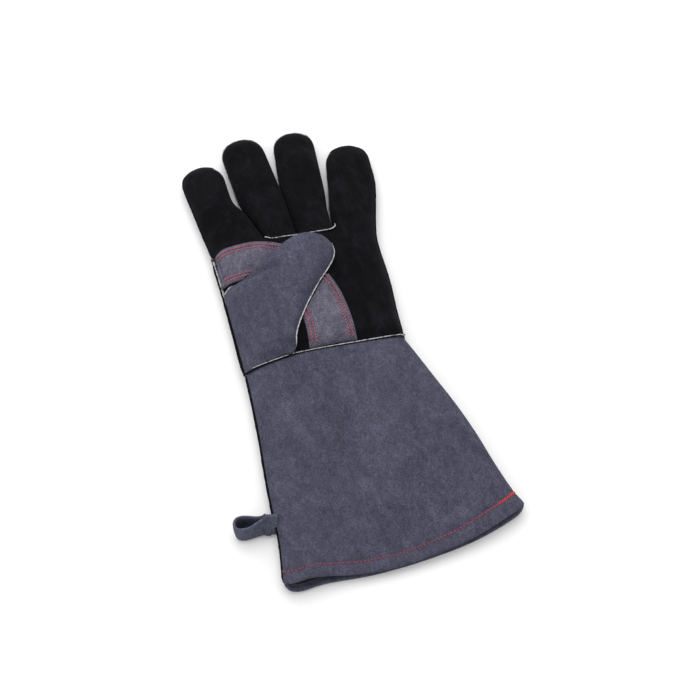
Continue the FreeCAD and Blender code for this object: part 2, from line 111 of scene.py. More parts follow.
def at_distances(line, along, wanted):
    """The places on a polyline at some distances along it."""
    return np.stack([np.interp(wanted, along, line[:, k]) for k in range(line.shape[1])], axis=1)


def resample(line, count):
    """Evenly spaced points along a polyline."""
    line = np.array(line, float)
    along = distances(line)
    return at_distances(line, along, np.linspace(0, along[-1], count))


def even_path(points, normals, spacing=WELT_STEP):
    """A path and its normals, resampled to rings about spacing mm apart."""
    count = int(distances(points)[-1] / spacing)
    return resample(points, count), unit(resample(normals, count))


def arc(centre, radius, start, end, count):
    """Points on an arc; angles are in radians, anticlockwise from +X."""
    angles = np.linspace(start, end, count)
    return np.array(centre) + radius * np.stack([np.cos(angles), np.sin(angles)], axis=1)


def coons(bottom, top, left, right):
    """A grid of points that fills four curves: rows run from bottom to top, columns from left to right."""
    u = np.linspace(0, 1, len(bottom))[None, :, None]
    v = np.linspace(0, 1, len(left))[:, None, None]
    ruled = (1 - v) * bottom[None] + v * top[None] + (1 - u) * left[:, None] + u * right[:, None]
    corners = ((1 - u) * (1 - v) * bottom[0] + u * (1 - v) * bottom[-1]
               + (1 - u) * v * top[0] + u * v * top[-1])
    return ruled - corners


def follow(stops, places):
    """Values at some places, in proportion between stops: pairs of a place and a value."""
    return np.interp(places, [place for place, _ in stops], [value for _, value in stops])


def smooth01(x):
    x = np.clip(x, 0, 1)
    return x * x * (3 - 2 * x)


# ---------------- the plan of the glove

WRIST_HALF = 64.5
WRIST_CURVE = [(-WRIST_HALF, 7.0), (-43.0, 6.4), (-20.6, 5.8), (2.0, 2.6), (25.0, -1.6), (45.0, -4.9),
               (WRIST_HALF, -7.0)]
KNUCKLES = [(-54.0, 116.0), (-8.0, 113.8), (17.3, 107.2), (47.2, 104.6), (80.0, 92.0)]
# each finger: its left side, its right side and its tip, as a centre and a radius
FINGERS = {
    "index": {"left": [(-54.6, 138.0), (-54.4, 165.0)],
              "right": [(-10.9, 130.0), (-14.6, 146.0), (-20.0, 160.0)],
              "tip": (-36.6, 187.0), "radius": 18.1, "columns": 13},
    "middle": {"left": [(-10.3, 130.0), (-13.8, 146.0), (-15.9, 160.0), (-15.2, 182.0)],
               "right": [(19.6, 132.0), (20.9, 150.0), (21.2, 166.0)],
               "tip": (3.7, 202.3), "radius": 18.1, "columns": 10},
    "ring": {"left": [(19.5, 132.0), (20.9, 150.0), (21.9, 166.0)],
             "right": [(49.8, 124.0), (55.0, 146.0)],
             "tip": (46.0, 194.6), "radius": 17.2, "columns": 10},
    "little": {"left": [(51.0, 124.0), (58.0, 146.0)], "right": [(88.6, 114.0), (97.0, 136.0)],
               "tip": (83.0, 163.8), "radius": 18.6, "columns": 12},
}
NAMES = list(FINGERS)
FINGER_ROWS = 28
PALM_ROWS = 36
FRONTS = {"palm", *(n + "_front" for n in NAMES)}
BACKS = {"hand_back", *(n + "_back" for n in NAMES)}


def finger_plan(name):
    """A finger's grid of points in the plane, from the knuckle line to its tip."""
    spec, number = FINGERS[name], NAMES.index(name)
    foot_left, foot_right = KNUCKLES[number], KNUCKLES[number + 1]
    tip, radius = np.array(spec["tip"]), spec["radius"]
    foot = (np.array(foot_left) + np.array(foot_right)) / 2
    heading = math.atan2(*(tip - foot)[::-1])
    sides = {}
    for side, sign, foot_point in (("left", 1, foot_left), ("right", -1, foot_right)):
        beside = arc(tip, radius, heading + sign * math.pi / 2, heading + sign * TIP_CORNER, 5)
        straight = spline([foot_point] + spec[side] + [tuple(beside[0])], 60)
        sides[side] = resample(np.vstack([straight, beside[1:]]), FINGER_ROWS + 1)
    top = arc(tip, radius, heading + TIP_CORNER, heading - TIP_CORNER, spec["columns"] + 1)
    bottom = spline([foot_left, foot_right], spec["columns"] + 1)
    return coons(bottom, top, sides["left"], sides["right"])


def palm_plan():
    """The grid of the palm, from the wrist seam to the knuckle line."""
    columns = [FINGERS[name]["columns"] for name in NAMES]
    top = np.vstack([spline(KNUCKLES[k:k + 2], n + 1)[(k > 0):] for k, n in enumerate(columns)])
    wrist = spline(WRIST_CURVE, sum(columns) + 1)
    left = spline([wrist[0], (-60.5, 42.0), (-56.5, 80.0), KNUCKLES[0]], PALM_ROWS + 1)
    right = spline([wrist[-1], (68.6, 20.0), (73.6, 47.0), (77.0, 78.0), KNUCKLES[-1]], PALM_ROWS + 1)
    return coons(wrist, top, left, right)


# ---------------- a skin of points and faces

def cells(numbers):
    """The corners of each cell of a grid of point numbers, anticlockwise."""
    for low, high in zip(numbers[:-1], numbers[1:]):
        for corners in zip(low[:-1], low[1:], high[1:], high[:-1]):
            yield [int(n) for n in corners]


class Skin:
    """Points and faces that share edges, each face with the name of the panel that it belongs to."""

    def __init__(self):
        self.points, self.faces, self.panels, self.fixed = [], [], [], {}

    def point(self, x, y, z=0.0):
        self.points.append((x, y, z))
        return len(self.points) - 1

    def lay_points(self, plan):
        """The numbers of new points at the places of a grid."""
        return np.array([[self.point(*place) for place in row] for row in plan])

    def pin(self, index, z):
        """Gives a point a height that filling the skin out doesn't change."""
        self.fixed[int(index)] = z

    def grid(self, numbers, panel, flip=False):
        """Faces between rows and columns of point numbers. Corners that coincide become one."""
        for corners in cells(numbers):
            face = [n for k, n in enumerate(corners) if n != corners[k - 1]]
            if len(face) > 2:
                self.faces.append(face[::-1] if flip else face)
                self.panels.append(panel)

    def reshape(self, numbers, height):
        """Gives the points among some numbers that aren't pinned a height that depends on their place."""
        for number in set(np.ravel(numbers).tolist()) - set(self.fixed):
            x, y, z = self.points[number]
            self.points[number] = (x, y, height(x, y, z))

    def edges(self, panels):
        """Every edge of some panels once, as an array of pairs."""
        found = {tuple(sorted((f[k - 1], f[k]))) for f, p in zip(self.faces, self.panels) if p in panels
                 for k in range(len(f))}
        return np.array(sorted(found))


def from_neighbours(edges, values):
    """What each point gets from its neighbours' values, along the edges and then against them."""
    for near, far in ((0, 1), (1, 0)):
        yield np.bincount(edges[:, near], values[edges[:, far]], minlength=len(values))


def relax(count, edges, fixed, values, load=0.0, reach=None):
    """Solves for a height at each point: the mean of its neighbours', plus a load, held where it is fixed.

    With a reach, heights level off that far from what holds them. Conjugate gradients on the edges.
    """
    weight = (1.0 / reach ** 2) if reach else 0.0
    degree = np.bincount(edges.ravel(), minlength=count).astype(float)
    free = ~fixed & (degree > 0)
    x = np.where(fixed, values, 0.0)

    def apply(v):
        out = (degree + weight) * v
        for part in from_neighbours(edges, v):
            out -= part
        return out

    residual = np.where(free, load - apply(x), 0.0)
    direction, size = residual.copy(), residual @ residual
    for _ in range(600):
        if size < 1e-10:
            break
        step = np.where(free, apply(direction), 0.0)
        alpha = size / (direction @ step)
        x = x + alpha * direction
        residual = residual - alpha * step
        new_size = residual @ residual
        direction = residual + direction * (new_size / size)
        size = new_size
    return x


def fill_out(skin, panels, height, reach=SOFTNESS):
    """Raises panels between their pinned edges: a domed sheet that is level in the middle."""
    points = np.array(skin.points)
    edges = skin.edges(panels)
    fixed = np.zeros(len(points), bool)
    values = np.zeros(len(points))
    used = set(edges.ravel().tolist())
    for number, z in skin.fixed.items():
        if number in used:
            fixed[number], values[number] = True, z
    base = relax(len(points), edges, fixed, values)
    scaled = reach / STEP
    dome = relax(len(points), edges, fixed, np.zeros(len(points)), load=1.0 / scaled ** 2, reach=scaled)
    dome = np.sqrt(np.clip(dome, 0, 1) * DOME_GAIN)
    for number in used:
        x, y, _ = skin.points[number]
        z = values[number] if fixed[number] else base[number] + height * dome[number]
        skin.points[number] = (x, y, float(z))


# ---------------- the hand

def wrist_height(x):
    """Heights of the wrist seam, front and back, across the glove."""
    s = np.clip(abs(np.asarray(x, float)) / WRIST_HALF, 0, 1)
    rise = (1 - s ** 4.5) ** 0.6
    return EDGE_Z + WRIST_RISE * rise, EDGE_Z - WRIST_DROP * rise


def gusset_half(share):
    """Half the height of a strip between two fingers, at a share of the way up its finger."""
    flare = (CROTCH - GUSSET / 2) * (1 - min(share / 0.25, 1.0)) ** 2
    return float(GUSSET / 2 * (1 - smooth01((share - 0.35) / 0.65)) + flare)


def build_hand():
    """The skin of the hand and fingers, and the point numbers along each of its seams."""
    skin, seams = Skin(), {}
    plan = palm_plan()
    front = skin.lay_points(plan)
    back = front.copy()
    back[:, 1:-1] = skin.lay_points(plan[:, 1:-1])
    for number in (*front[:, 0], *front[:, -1]):
        skin.pin(number, EDGE_Z)
    top, low = wrist_height(plan[0, :, 0])
    for i in range(1, plan.shape[1] - 1):
        skin.pin(front[0, i], float(top[i]))
        skin.pin(back[0, i], float(low[i]))
    skin.grid(front, "palm")
    skin.grid(back, "hand_back", flip=True)
    seams["hand_left"], seams["hand_right"] = front[:, 0], front[:, -1]
    feet = np.cumsum([0] + [FINGERS[name]["columns"] for name in NAMES])
    mids = {}
    for number in range(1, len(NAMES)):
        i = feet[number]
        skin.pin(front[-1, i], EDGE_Z + CROTCH)
        skin.pin(back[-1, i], EDGE_Z - CROTCH)
        x, y = plan[-1, i]
        mids[number] = [skin.point(x, y), skin.point(x, y)]
        for point, height in zip(mids[number], (CROTCH / 3, -CROTCH / 3)):
            skin.pin(point, EDGE_Z + height)
    for number, name in enumerate(NAMES):
        grid = finger_plan(name)
        a, b = feet[number:number + 2]
        high = grid.shape[0]
        f = np.zeros(grid.shape[:2], int)
        k = np.zeros(grid.shape[:2], int)
        f[0], k[0] = front[-1, a:b + 1], back[-1, a:b + 1]
        for r in range(1, high):
            for c in range(grid.shape[1]):
                f[r, c] = skin.point(*grid[r, c])
                side = "left" if c == 0 else "right" if c == grid.shape[1] - 1 else None
                outer = (side == "left" and number == 0) or (side == "right" and number == 3)
                if r == high - 1 or outer:
                    k[r, c] = f[r, c]
                    skin.pin(f[r, c], EDGE_Z)
                else:
                    k[r, c] = skin.point(*grid[r, c])
                    if side:
                        half = gusset_half(r / (high - 1))
                        skin.pin(f[r, c], EDGE_Z + half)
                        skin.pin(k[r, c], EDGE_Z - half)
        skin.grid(f, name + "_front")
        skin.grid(k, name + "_back", flip=True)
        for side, c, crotch in (("left", 0, number), ("right", -1, number + 1)):
            if crotch not in mids:
                continue
            gusset = np.zeros((high, 4), int)
            gusset[0] = [f[0, c], *mids[crotch], k[0, c]]
            sign = 1 if side == "left" else -1
            for r in range(1, high):
                half = gusset_half(r / (high - 1))
                x, y = grid[r, c]
                tuck = 0.25 * half * sign * 0.6
                gusset[r] = f[r, c], f[r, c], f[r, c], k[r, c]
                if r < high - 1:
                    for m, share in ((1, 1 / 3), (2, -1 / 3)):
                        gusset[r, m] = skin.point(x + tuck, y, EDGE_Z + half * share)
                        skin.pin(gusset[r, m], EDGE_Z + half * share)
            skin.grid(gusset, f"{name}_gusset_{side}", flip=side == "left")
        for face, numbers in (("_front", f), ("_back", k)):
            seams[name + face] = [*numbers[:, 0], *numbers[-1, 1:], *numbers[-2::-1, -1]]
    fill_out(skin, FRONTS, CROWN)
    fill_out(skin, BACKS, -BELLY)
    return skin, seams


def soften(skin, panels, rounds, factor):
    """Evens out the points of some panels, leaving the pinned ones."""
    edges = skin.edges(panels)
    points = np.array(skin.points)
    degree = np.bincount(edges.ravel(), minlength=len(points)).astype(float)
    free = degree > 0
    free[list(skin.fixed)] = False
    for _ in range(rounds):
        total = np.zeros_like(points)
        for axis in range(3):
            for part in from_neighbours(edges, points[:, axis]):
                total[:, axis] += part
        mean = total / np.maximum(degree, 1)[:, None]
        points[free] += factor * (mean[free] - points[free])
    skin.points = [tuple(p) for p in points]


def rumple(skin, panels, amounts, seed):
    """Moves the free points of some panels up and down by smooth noise: pairs of a height and a scale."""
    def height(x, y, z):
        for amount, scale in amounts:
            z += amount * noise.noise(Vector((x / scale + seed, y / scale, z / scale)))
        return z

    skin.reshape(skin.edges(panels), height)


def calm(skin, panels, base_lift, right=90.0):
    """Flattens panels beside the wrist seam, so that they meet the cuff in a shallow groove.

    Beyond right, a place in mm along X, they are left as they are.
    """
    seam = spline(WRIST_CURVE, 60)

    def height(x, y, z):
        beyond = y - follow(seam, x)
        base = float(wrist_height(x)[0]) + base_lift
        share = CALM_SHARE + (1 - CALM_SHARE) * smooth01(beyond / CALM_REACH)
        share = share + (1 - share) * smooth01((x - right) / 6)
        return float(base + (z - base) * share)

    skin.reshape(skin.edges(panels), height)


# ---------------- from skins to pieces

def to_mesh(name, points, faces):
    """A mesh in metres from points in mm."""
    mesh = bpy.data.meshes.new(name)
    places = [tuple(float(v) * MM for v in p) for p in points]
    mesh.from_pydata(places, [], [list(map(int, f)) for f in faces])
    mesh.update()
    return mesh


def add_object(name, mesh, material=None):
    obj = bpy.data.objects.new(name, mesh)
    bpy.context.scene.collection.objects.link(obj)
    if material:
        mesh.materials.append(material)
    mesh.polygons.foreach_set("use_smooth", [True] * len(mesh.polygons))
    return obj


def refine(skin):
    """Subdivides a skin. Returns points, faces, each face's panel and each point's normal."""
    mesh = to_mesh("refining", skin.points, skin.faces)
    names = sorted(set(skin.panels))
    panel = mesh.attributes.new("panel", "INT", "FACE")
    panel.data.foreach_set("value", [names.index(p) for p in skin.panels])
    obj = add_object("refining", mesh)
    modifier = obj.modifiers.new("subdivide", "SUBSURF")
    modifier.levels = modifier.render_levels = 1
    modifier.boundary_smooth = "PRESERVE_CORNERS"
    result = bpy.data.meshes.new_from_object(obj.evaluated_get(bpy.context.evaluated_depsgraph_get()))
    points = np.array([v.co for v in result.vertices]) / MM
    normals = np.array([v.normal for v in result.vertices])
    faces = [list(p.vertices) for p in result.polygons]
    values = np.zeros(len(faces), int)
    result.attributes["panel"].data.foreach_get("value", values)
    bpy.data.objects.remove(obj)
    bpy.data.meshes.remove(result)
    return points, faces, [names[v] for v in values], normals


def closed_sheet(outer, inner, faces):
    """The points and faces of a sheet: its outer face, its inner face and the rim that joins them."""
    sides = {side: True for f in faces for side in zip(f, f[1:] + f[:1])}
    rim = [(a, b) for a, b in sides if (b, a) not in sides]
    count = len(outer)
    faces = faces + [[v + count for v in reversed(f)] for f in faces]
    faces += [[b, a, a + count, b + count] for a, b in rim]
    return np.vstack([outer, inner]), faces


def panel_piece(name, refined, panels, material, thickness, depth):
    """A closed piece of leather cut from a refined skin: its outer face, its inner face and its rim."""
    points, faces, labels, normals = refined
    chosen = [f for f, label in zip(faces, labels) if label in panels]
    used = sorted({v for f in chosen for v in f})
    new = {v: k for k, v in enumerate(used)}
    outer = points[used] - normals[used] * depth
    inner = points[used] - normals[used] * (depth + thickness)
    obj = piece(name, closed_sheet(outer, inner, [[new[v] for v in f] for f in chosen]), material)
    both = np.vstack([normals[used], -normals[used]])
    obj.data.normals_split_custom_set_from_vertices([tuple(n) for n in both])
    return obj


def tube_faces(rings, size, flip=False):
    """The faces between the rings of a tube, with size points in each ring."""
    faces = []
    for j in range(rings - 1):
        for i in range(size):
            n = (i + 1) % size
            a, b, c, d = (j * size + i, (j + 1) * size + i, (j + 1) * size + n, j * size + n)
            faces.append([a, d, c, b] if flip else [a, b, c, d])
    return faces


def sweep(points, across, up, profile):
    """A closed tube: a profile of (across, up) pairs at every point of a path.

    The lengths of across and up scale the profile.
    """
    count, size = len(points), len(profile)
    rings = [points[i] + np.outer(profile[:, 0], across[i]) + np.outer(profile[:, 1], up[i])
             for i in range(count)]
    faces = tube_faces(count, size, flip=True)
    faces.append(list(range(size))[::-1])
    faces.append([(count - 1) * size + k for k in range(size)])
    return np.vstack(rings), faces


def merge(parts):
    """One list of points and faces from several."""
    points, faces, total = [], [], 0
    for p, f in parts:
        points.append(p)
        faces += [[v + total for v in face] for face in f]
        total += len(p)
    return np.vstack(points), faces


def oval(width, height, count=10):
    a = np.linspace(0, 2 * math.pi, count, endpoint=False)
    return np.stack([np.cos(a) * width / 2, np.sin(a) * height / 2], axis=1)


def unit(v):
    v = np.asarray(v, float)
    return v / np.maximum(np.linalg.norm(v, axis=-1, keepdims=True), 1e-9)


def frames(points, normals):
    """Directions across and out from a path that lies on a surface."""
    along = unit(np.gradient(points, axis=0))
    across = unit(np.cross(along, normals))
    return across, unit(np.cross(across, along))


def strip_on(points, normals, width, height, sink=0.3, shift=0.0, waver=0.0, seed=0.0, head=2, tail=2):
    """A rounded strip that runs along a path on a surface. waver changes its size and place a little.

    It tapers over its first few points, head, and its last few, tail.
    """
    across, up = frames(points, normals)
    count = len(points)
    scale = np.ones(count)
    for k in range(head):
        scale[k] *= (k + 0.6) / (head + 0.6)
    for k in range(tail):
        scale[count - 1 - k] *= (k + 0.6) / (tail + 0.6)
    base = points + (up * (height / 2 - sink) + across * shift) * scale[:, None]
    if waver:
        for i, p in enumerate(points):
            near = Vector((p[0] / 5 + seed, p[1] / 5, p[2] / 5))
            base[i] += across[i] * waver * 0.5 * noise.noise(near)
            scale[i] *= 1 + waver * noise.noise(near + Vector((31, 7, 0)))
    return sweep(base, across * scale[:, None], up * scale[:, None], oval(width, height))


def piece(name, parts, material):
    """A piece from one closed part or from a list of them."""
    points, faces = merge(parts) if isinstance(parts, list) else parts
    return add_object(name, to_mesh(name, points, faces), material)


def stitches(points, normals, length, gap, width, lift):
    """Separate rounded stitches, one after another along a path, each a little aslant."""
    along = distances(points)
    pitch = length + gap
    count = int((along[-1] - length) / pitch)
    made = []
    for k in range(count):
        s = np.linspace(k * pitch, k * pitch + length, 5)
        p, n = at_distances(points, along, s), unit(at_distances(normals, along, s))
        across, up = frames(p, n)
        bow = np.array([-0.5, 0.6, 1.0, 0.6, -0.5]) * lift
        p = p + up * bow[:, None] + across * np.linspace(-STITCH_SLANT, STITCH_SLANT, 5)[:, None]
        across, up = frames(p, n)
        size = np.array([0.45, 0.95, 1.0, 0.95, 0.45])[:, None]
        made.append(sweep(p, across * size, up * size, oval(width, width * 0.85, 6)))
    return made


class Surface:
    """What lies below a point in the plane: a place and a normal on some refined faces."""

    def __init__(self, refined, panels):
        points, faces, labels, _ = refined
        chosen = [f for f, label in zip(faces, labels) if label in panels]
        self.tree = BVHTree.FromPolygons([Vector(p) for p in points], chosen)

    def at(self, x, y):
        hit, normal, _, _ = self.tree.ray_cast(Vector((x, y, 90.0)), Vector((0, 0, -1.0)))
        if hit is None:
            hit, normal, _, _ = self.tree.find_nearest(Vector((x, y, 19.0)))
        if normal.z < 0:
            normal = -normal
        return np.array(hit), np.array(normal)


def shell(name, grid, thickness, material):
    """A closed sheet from a grid of points, with its thickness inwards."""
    rows, columns = grid.shape[:2]
    du, dv = np.gradient(grid, axis=1), np.gradient(grid, axis=0)
    inner = grid - unit(np.cross(du, dv)) * thickness
    number = np.arange(rows * columns).reshape(rows, columns)
    sheet = closed_sheet(grid.reshape(-1, 3), inner.reshape(-1, 3), list(cells(number)))
    return piece(name, sheet, material)


# ---------------- materials

def srgb(*levels):
    """A linear colour from display levels of 0 to 255."""
    return (*(((c / 255 + 0.055) / 1.055) ** 2.4 if c > 10 else c / 255 / 12.92 for c in levels), 1.0)


class Nodes:
    """A new material and short ways of adding nodes to it."""

    def __init__(self, name, roughness, sheen=0.0, specular=0.3):
        self.material = bpy.data.materials.new(name)
        self.material.use_nodes = True
        self.tree = self.material.node_tree
        self.shader = self.tree.nodes["Principled BSDF"]
        for socket, value in (("Roughness", roughness), ("Specular IOR Level", specular),
                              ("Sheen Weight", sheen), ("Sheen Roughness", 0.45)):
            self.shader.inputs[socket].default_value = value
        self.coordinates = self.new("TexCoord").outputs["Object"]

    def feed(self, socket, value):
        """Links a node's output to a socket, or gives the socket a constant."""
        if hasattr(value, "is_output"):
            self.tree.links.new(value, socket)
        else:
            socket.default_value = value

    def new(self, kind, **inputs):
        """A new node, with some of its inputs linked or set."""
        node = self.tree.nodes.new("ShaderNode" + kind)
        for name, value in inputs.items():
            self.feed(node.inputs[name], value)
        return node

    def noise(self, size, detail=2.0, roughness=0.5, stretch=None, distortion=0.0):
        """Noise whose blotches are about size mm across."""
        source = self.coordinates
        if stretch:
            mapping = self.new("Mapping", Vector=source, Scale=stretch, Rotation=(0.0, 0.0, 0.35))
            source = mapping.outputs["Vector"]
        node = self.new("TexNoise", Vector=source, Scale=1.0 / (size * MM), Detail=detail,
                        Roughness=roughness, Distortion=distortion)
        return node.outputs["Fac"]

    def ramp(self, source, *stops):
        """A colour ramp, from pairs of a place and a colour in display levels or a plain linear grey."""
        node = self.new("ValToRGB", Fac=source)
        elements = node.color_ramp.elements
        while len(elements) < len(stops):
            elements.new(0.5)
        for element, (place, colour) in zip(elements, stops):
            element.position = place
            element.color = srgb(*colour) if isinstance(colour, tuple) else (colour,) * 3 + (1,)
        return node.outputs["Color"]

    def mix(self, a, b, share, mode="MIX"):
        """Mixes two colours. The Mix node's colour sockets share their names, so they go by number."""
        node = self.new("Mix")
        node.data_type, node.blend_type = "RGBA", mode
        for number, value in ((0, share), (6, a), (7, b)):
            self.feed(node.inputs[number], value)
        return node.outputs[2]

    def math(self, operation, *values):
        node = self.new("Math")
        node.operation = operation
        for socket, value in zip(node.inputs, values):
            self.feed(socket, value)
        return node.outputs[0]

    def bump(self, height, distance, strength=1.0, normal=None):
        node = self.new("Bump", Height=height, Distance=distance * MM, Strength=strength)
        if normal:
            self.feed(node.inputs["Normal"], normal)
        return node.outputs["Normal"]

    def finish(self, colour, normal=None, roughness=None):
        for socket, source in (("Base Color", colour), ("Normal", normal), ("Roughness", roughness)):
            if source:
                self.feed(self.shader.inputs[socket], source)
        return self.material


def suede(name, dark, mid, light, sheen=0.05, sheen_tint=(190, 195, 215), grain=1.0):
    """Split leather: cloudy where its nap lies one way or another, with a fine short nap and pores."""
    n = Nodes(name, 0.95, sheen, specular=0.08)
    n.shader.inputs["Sheen Tint"].default_value = srgb(*sheen_tint)
    clouds = n.noise(28, detail=4, roughness=0.65, distortion=0.8)
    brushed = n.noise(8, detail=4, roughness=0.7, stretch=(1.0, 0.5, 1.0), distortion=0.6)
    nap = n.noise(1.1, detail=4, roughness=0.8)
    fibre = n.noise(0.45, detail=2, roughness=0.6, stretch=(1.0, 0.4, 1.0))
    base = n.ramp(clouds, (0.28, dark), (0.5, mid), (0.72, light))
    base = n.mix(base, n.ramp(brushed, (0.34, dark), (0.5, mid), (0.66, light)), 0.45)
    worn = n.noise(2.6, detail=4, roughness=0.75, stretch=(1.0, 0.65, 1.0), distortion=0.3)
    patches = n.ramp(worn, (0.36, 0.36), (0.5, 0.5), (0.66, 0.68))
    base = n.mix(base, patches, 0.55 * grain, "OVERLAY")
    grains = n.ramp(nap, (0.36, 0.27), (0.5, 0.5), (0.64, 0.75))
    base = n.mix(base, grains, 0.9 * grain, "OVERLAY")
    fibres = n.ramp(fibre, (0.3, 0.4), (0.5, 0.5), (0.7, 0.6))
    base = n.mix(base, fibres, 0.6, "OVERLAY")
    rough = n.ramp(nap, (0.3, 0.84), (0.7, 0.99))
    normal = n.bump(brushed, 0.5, 0.35)
    normal = n.bump(nap, 0.32, 0.55, normal)
    normal = n.bump(fibre, 0.12, 0.6, normal)
    return n.finish(base, normal, rough)


def plain_cloth(name, dark, light):
    """Soft knitted lining: small loops in rows, over clouds."""
    n = Nodes(name, 0.95, 0.3, specular=0.15)
    loops = n.noise(0.9, detail=1, stretch=(1.0, 0.45, 1.0))
    clouds = n.noise(12, detail=2)
    rows = n.ramp(loops, (0.35, dark), (0.65, light))
    colour = n.mix(rows, n.ramp(clouds, (0.3, dark), (0.7, light)), 0.4)
    return n.finish(colour, n.bump(loops, 0.4, 0.7))


def cut_edge(name, dark, light, size=2.2):
    """The pale raw edge of a leather strip, scuffed and dirty here and there."""
    n = Nodes(name, 0.8, 0.0, specular=0.3)
    wear = n.noise(size, detail=3, roughness=0.7)
    fibre = n.noise(0.5, detail=2)
    colour = n.ramp(wear, (0.36, dark), (0.5, light), (1.0, light))
    return n.finish(colour, n.bump(fibre, 0.2, 0.6))


BRIGHTENING = 4.5  # how fast the hem's thread brightens to the right, in shares per metre


def thread(name, dark, light, bright_from=None):
    """Twisted sewing thread: slanted plies with a soft gloss, faded here and there.

    With bright_from, a place in mm along X, the thread is darker to its left and brighter to its right.
    """
    n = Nodes(name, 0.6, 0.1, specular=0.25)
    wave = n.new("TexWave", Vector=n.coordinates, Scale=260.0, Distortion=1.5)
    wave.bands_direction = "DIAGONAL"
    plies = wave.outputs["Fac"]
    fade = n.noise(9, detail=2)
    if bright_from is not None:
        split = n.new("SeparateXYZ", Vector=n.coordinates)
        place = n.math("MULTIPLY_ADD", split.outputs["X"], BRIGHTENING, -bright_from * MM * BRIGHTENING)
        fade = n.math("ADD", n.math("MULTIPLY", fade, 0.5), place)
    colour = n.ramp(fade, (0.2, dark), (0.62, light))
    colour = n.mix(colour, n.ramp(plies, (0.0, 0.35), (1.0, 0.6)), 0.5, "OVERLAY")
    return n.finish(colour, n.bump(plies, 0.15, 0.6))


GREY = suede("grey_suede", (55, 55, 68), (68, 67, 82), (81, 80, 96))
GREY_PATCH = suede("grey_suede_patch", (71, 70, 82), (87, 85, 98), (104, 101, 114), grain=1.1)
GREY_LOOP = suede("grey_suede_loop", (62, 63, 77), (77, 78, 94), (91, 92, 108))
BLACK = suede("black_suede", (4, 4, 5), (9, 8, 11), (23, 22, 27), 0.06, (150, 150, 165), grain=1.2)
# black welt leather; the same material makes the black strips beside the thumb and wrist welts, which are
# partly painted shadow
WELT_BLACK_AND_SHADOW = suede("welt_leather_and_painted_shadow", (7, 7, 9), (11, 11, 13), (20, 20, 24), 0.02, (120, 120, 130))
WELT_LIGHT = cut_edge("welt_cut_edge", (96, 96, 104), (190, 190, 195))
WELT_SCUFFED = cut_edge("welt_scuffed_edge", (22, 22, 26), (176, 176, 182), size=3.4)
LINING = plain_cloth("lining_cloth", (20, 20, 24), (38, 38, 44))
PATCH_THREAD = thread("patch_thread", (112, 72, 88), (166, 82, 100))
HEM_THREAD = thread("hem_thread", (136, 60, 76), (186, 64, 68), bright_from=20.0)
TACK_THREAD = thread("tack_thread", (160, 48, 56), (208, 62, 50))

# what a panel is made of: its material, its slot, its thickness and how far it lies inside the skin
BLACK_PANEL = (BLACK, "black_suede", LEATHER, 0.0)
GREY_PANEL = (GREY, "grey_suede", LEATHER, 0.0)
THIN_GREY_PANEL = (GREY, "grey_suede", 1.2, 0.0)
LINING_PANEL = (LINING, "lining", LINING_THICKNESS, LINING_DEPTH)

# ---------------- making the hand

hand_skin, seams = build_hand()
soften(hand_skin, FRONTS, 3, 0.5)
soften(hand_skin, BACKS, 3, 0.5)
rumple(hand_skin, FRONTS, [(2.0, 34.0), (1.3, 12.0)], 3.0)
calm(hand_skin, {"palm"}, 0.0)
rumple(hand_skin, BACKS, [(0.5, 30.0), (0.3, 12.0)], 9.0)
hand_skin.points = [(x, y, max(z, FLOOR_GAP)) for x, y, z in hand_skin.points]
hand = refine(hand_skin)
palm_surface = Surface(hand, FRONTS)


def along_joint(name, start, end):
    """Two points, in metres, at distances in mm beyond a joint, along the way that its part points."""
    joint = JOINTS[name]
    axis, place = joint["axis"], Vector(joint["pos_m"])
    way = Vector((-axis[1], axis[0], 0)).normalized()
    return place + way * start * MM, place + way * end * MM


def put(obj, body, slot, *nodes):
    """Attaches a piece to a named body, or only bakes its transform when the body is given with bend
    points, and hides the CAD nodes it stands for. The slot is not used.
    """
    if isinstance(body, tuple):
        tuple(body[2])
        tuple(body[3])
        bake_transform(obj)
    else:
        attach(obj, body)
    if nodes:
        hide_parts(*nodes)


def panel(name, refined, panels, made_of, body, *more):
    """Puts a panel on a body. It stands for the CAD node of its own name, and for some more."""
    material, slot, thickness, depth = made_of
    put(panel_piece(name, refined, panels, material, thickness, depth), body, slot, name, *more)


def strip(name, parts, material, body, *nodes):
    """Puts one or more strips of a seam on a body."""
    put(piece(name, parts, material), body, "welt", *nodes)


BEND = {name: ("hand", name, *along_joint(name + "_curl", 4.5, 27.0)) for name in NAMES}
GUSSETS = {"index": {"right": "index_fourchette"},
           "middle": {"left": "middle_fourchette_index_side", "right": "middle_fourchette_ring_side"},
           "ring": {"left": "ring_fourchette_middle_side", "right": "ring_fourchette_little_side"},
           "little": {"left": "little_fourchette"}}

panel("palm_panel", hand, {"palm"}, BLACK_PANEL, "hand")
panel("hand_back", hand, {"hand_back"}, GREY_PANEL, "hand")
panel("palm_lining", hand, {"palm"}, LINING_PANEL, "hand")
panel("hand_back_lining", hand, {"hand_back"}, LINING_PANEL, "hand")
for name in NAMES:
    panel(name + "_front", hand, {name + "_front"}, BLACK_PANEL, BEND[name])
    panel(name + "_back", hand, {name + "_back"}, GREY_PANEL, BEND[name])
    for side, node in GUSSETS[name].items():
        panel(node, hand, {f"{name}_gusset_{side}"}, BLACK_PANEL, BEND[name])
    insides = {name + end for end in ("_front", "_back", "_gusset_left", "_gusset_right")}
    panel(name + "_lining", hand, insides, LINING_PANEL, BEND[name])


# ---------------- seams of the hand and fingers

def along_seam(numbers):
    """The places and normals of a row of the skin's points, once it is refined."""
    return hand[0][numbers], hand[3][numbers]


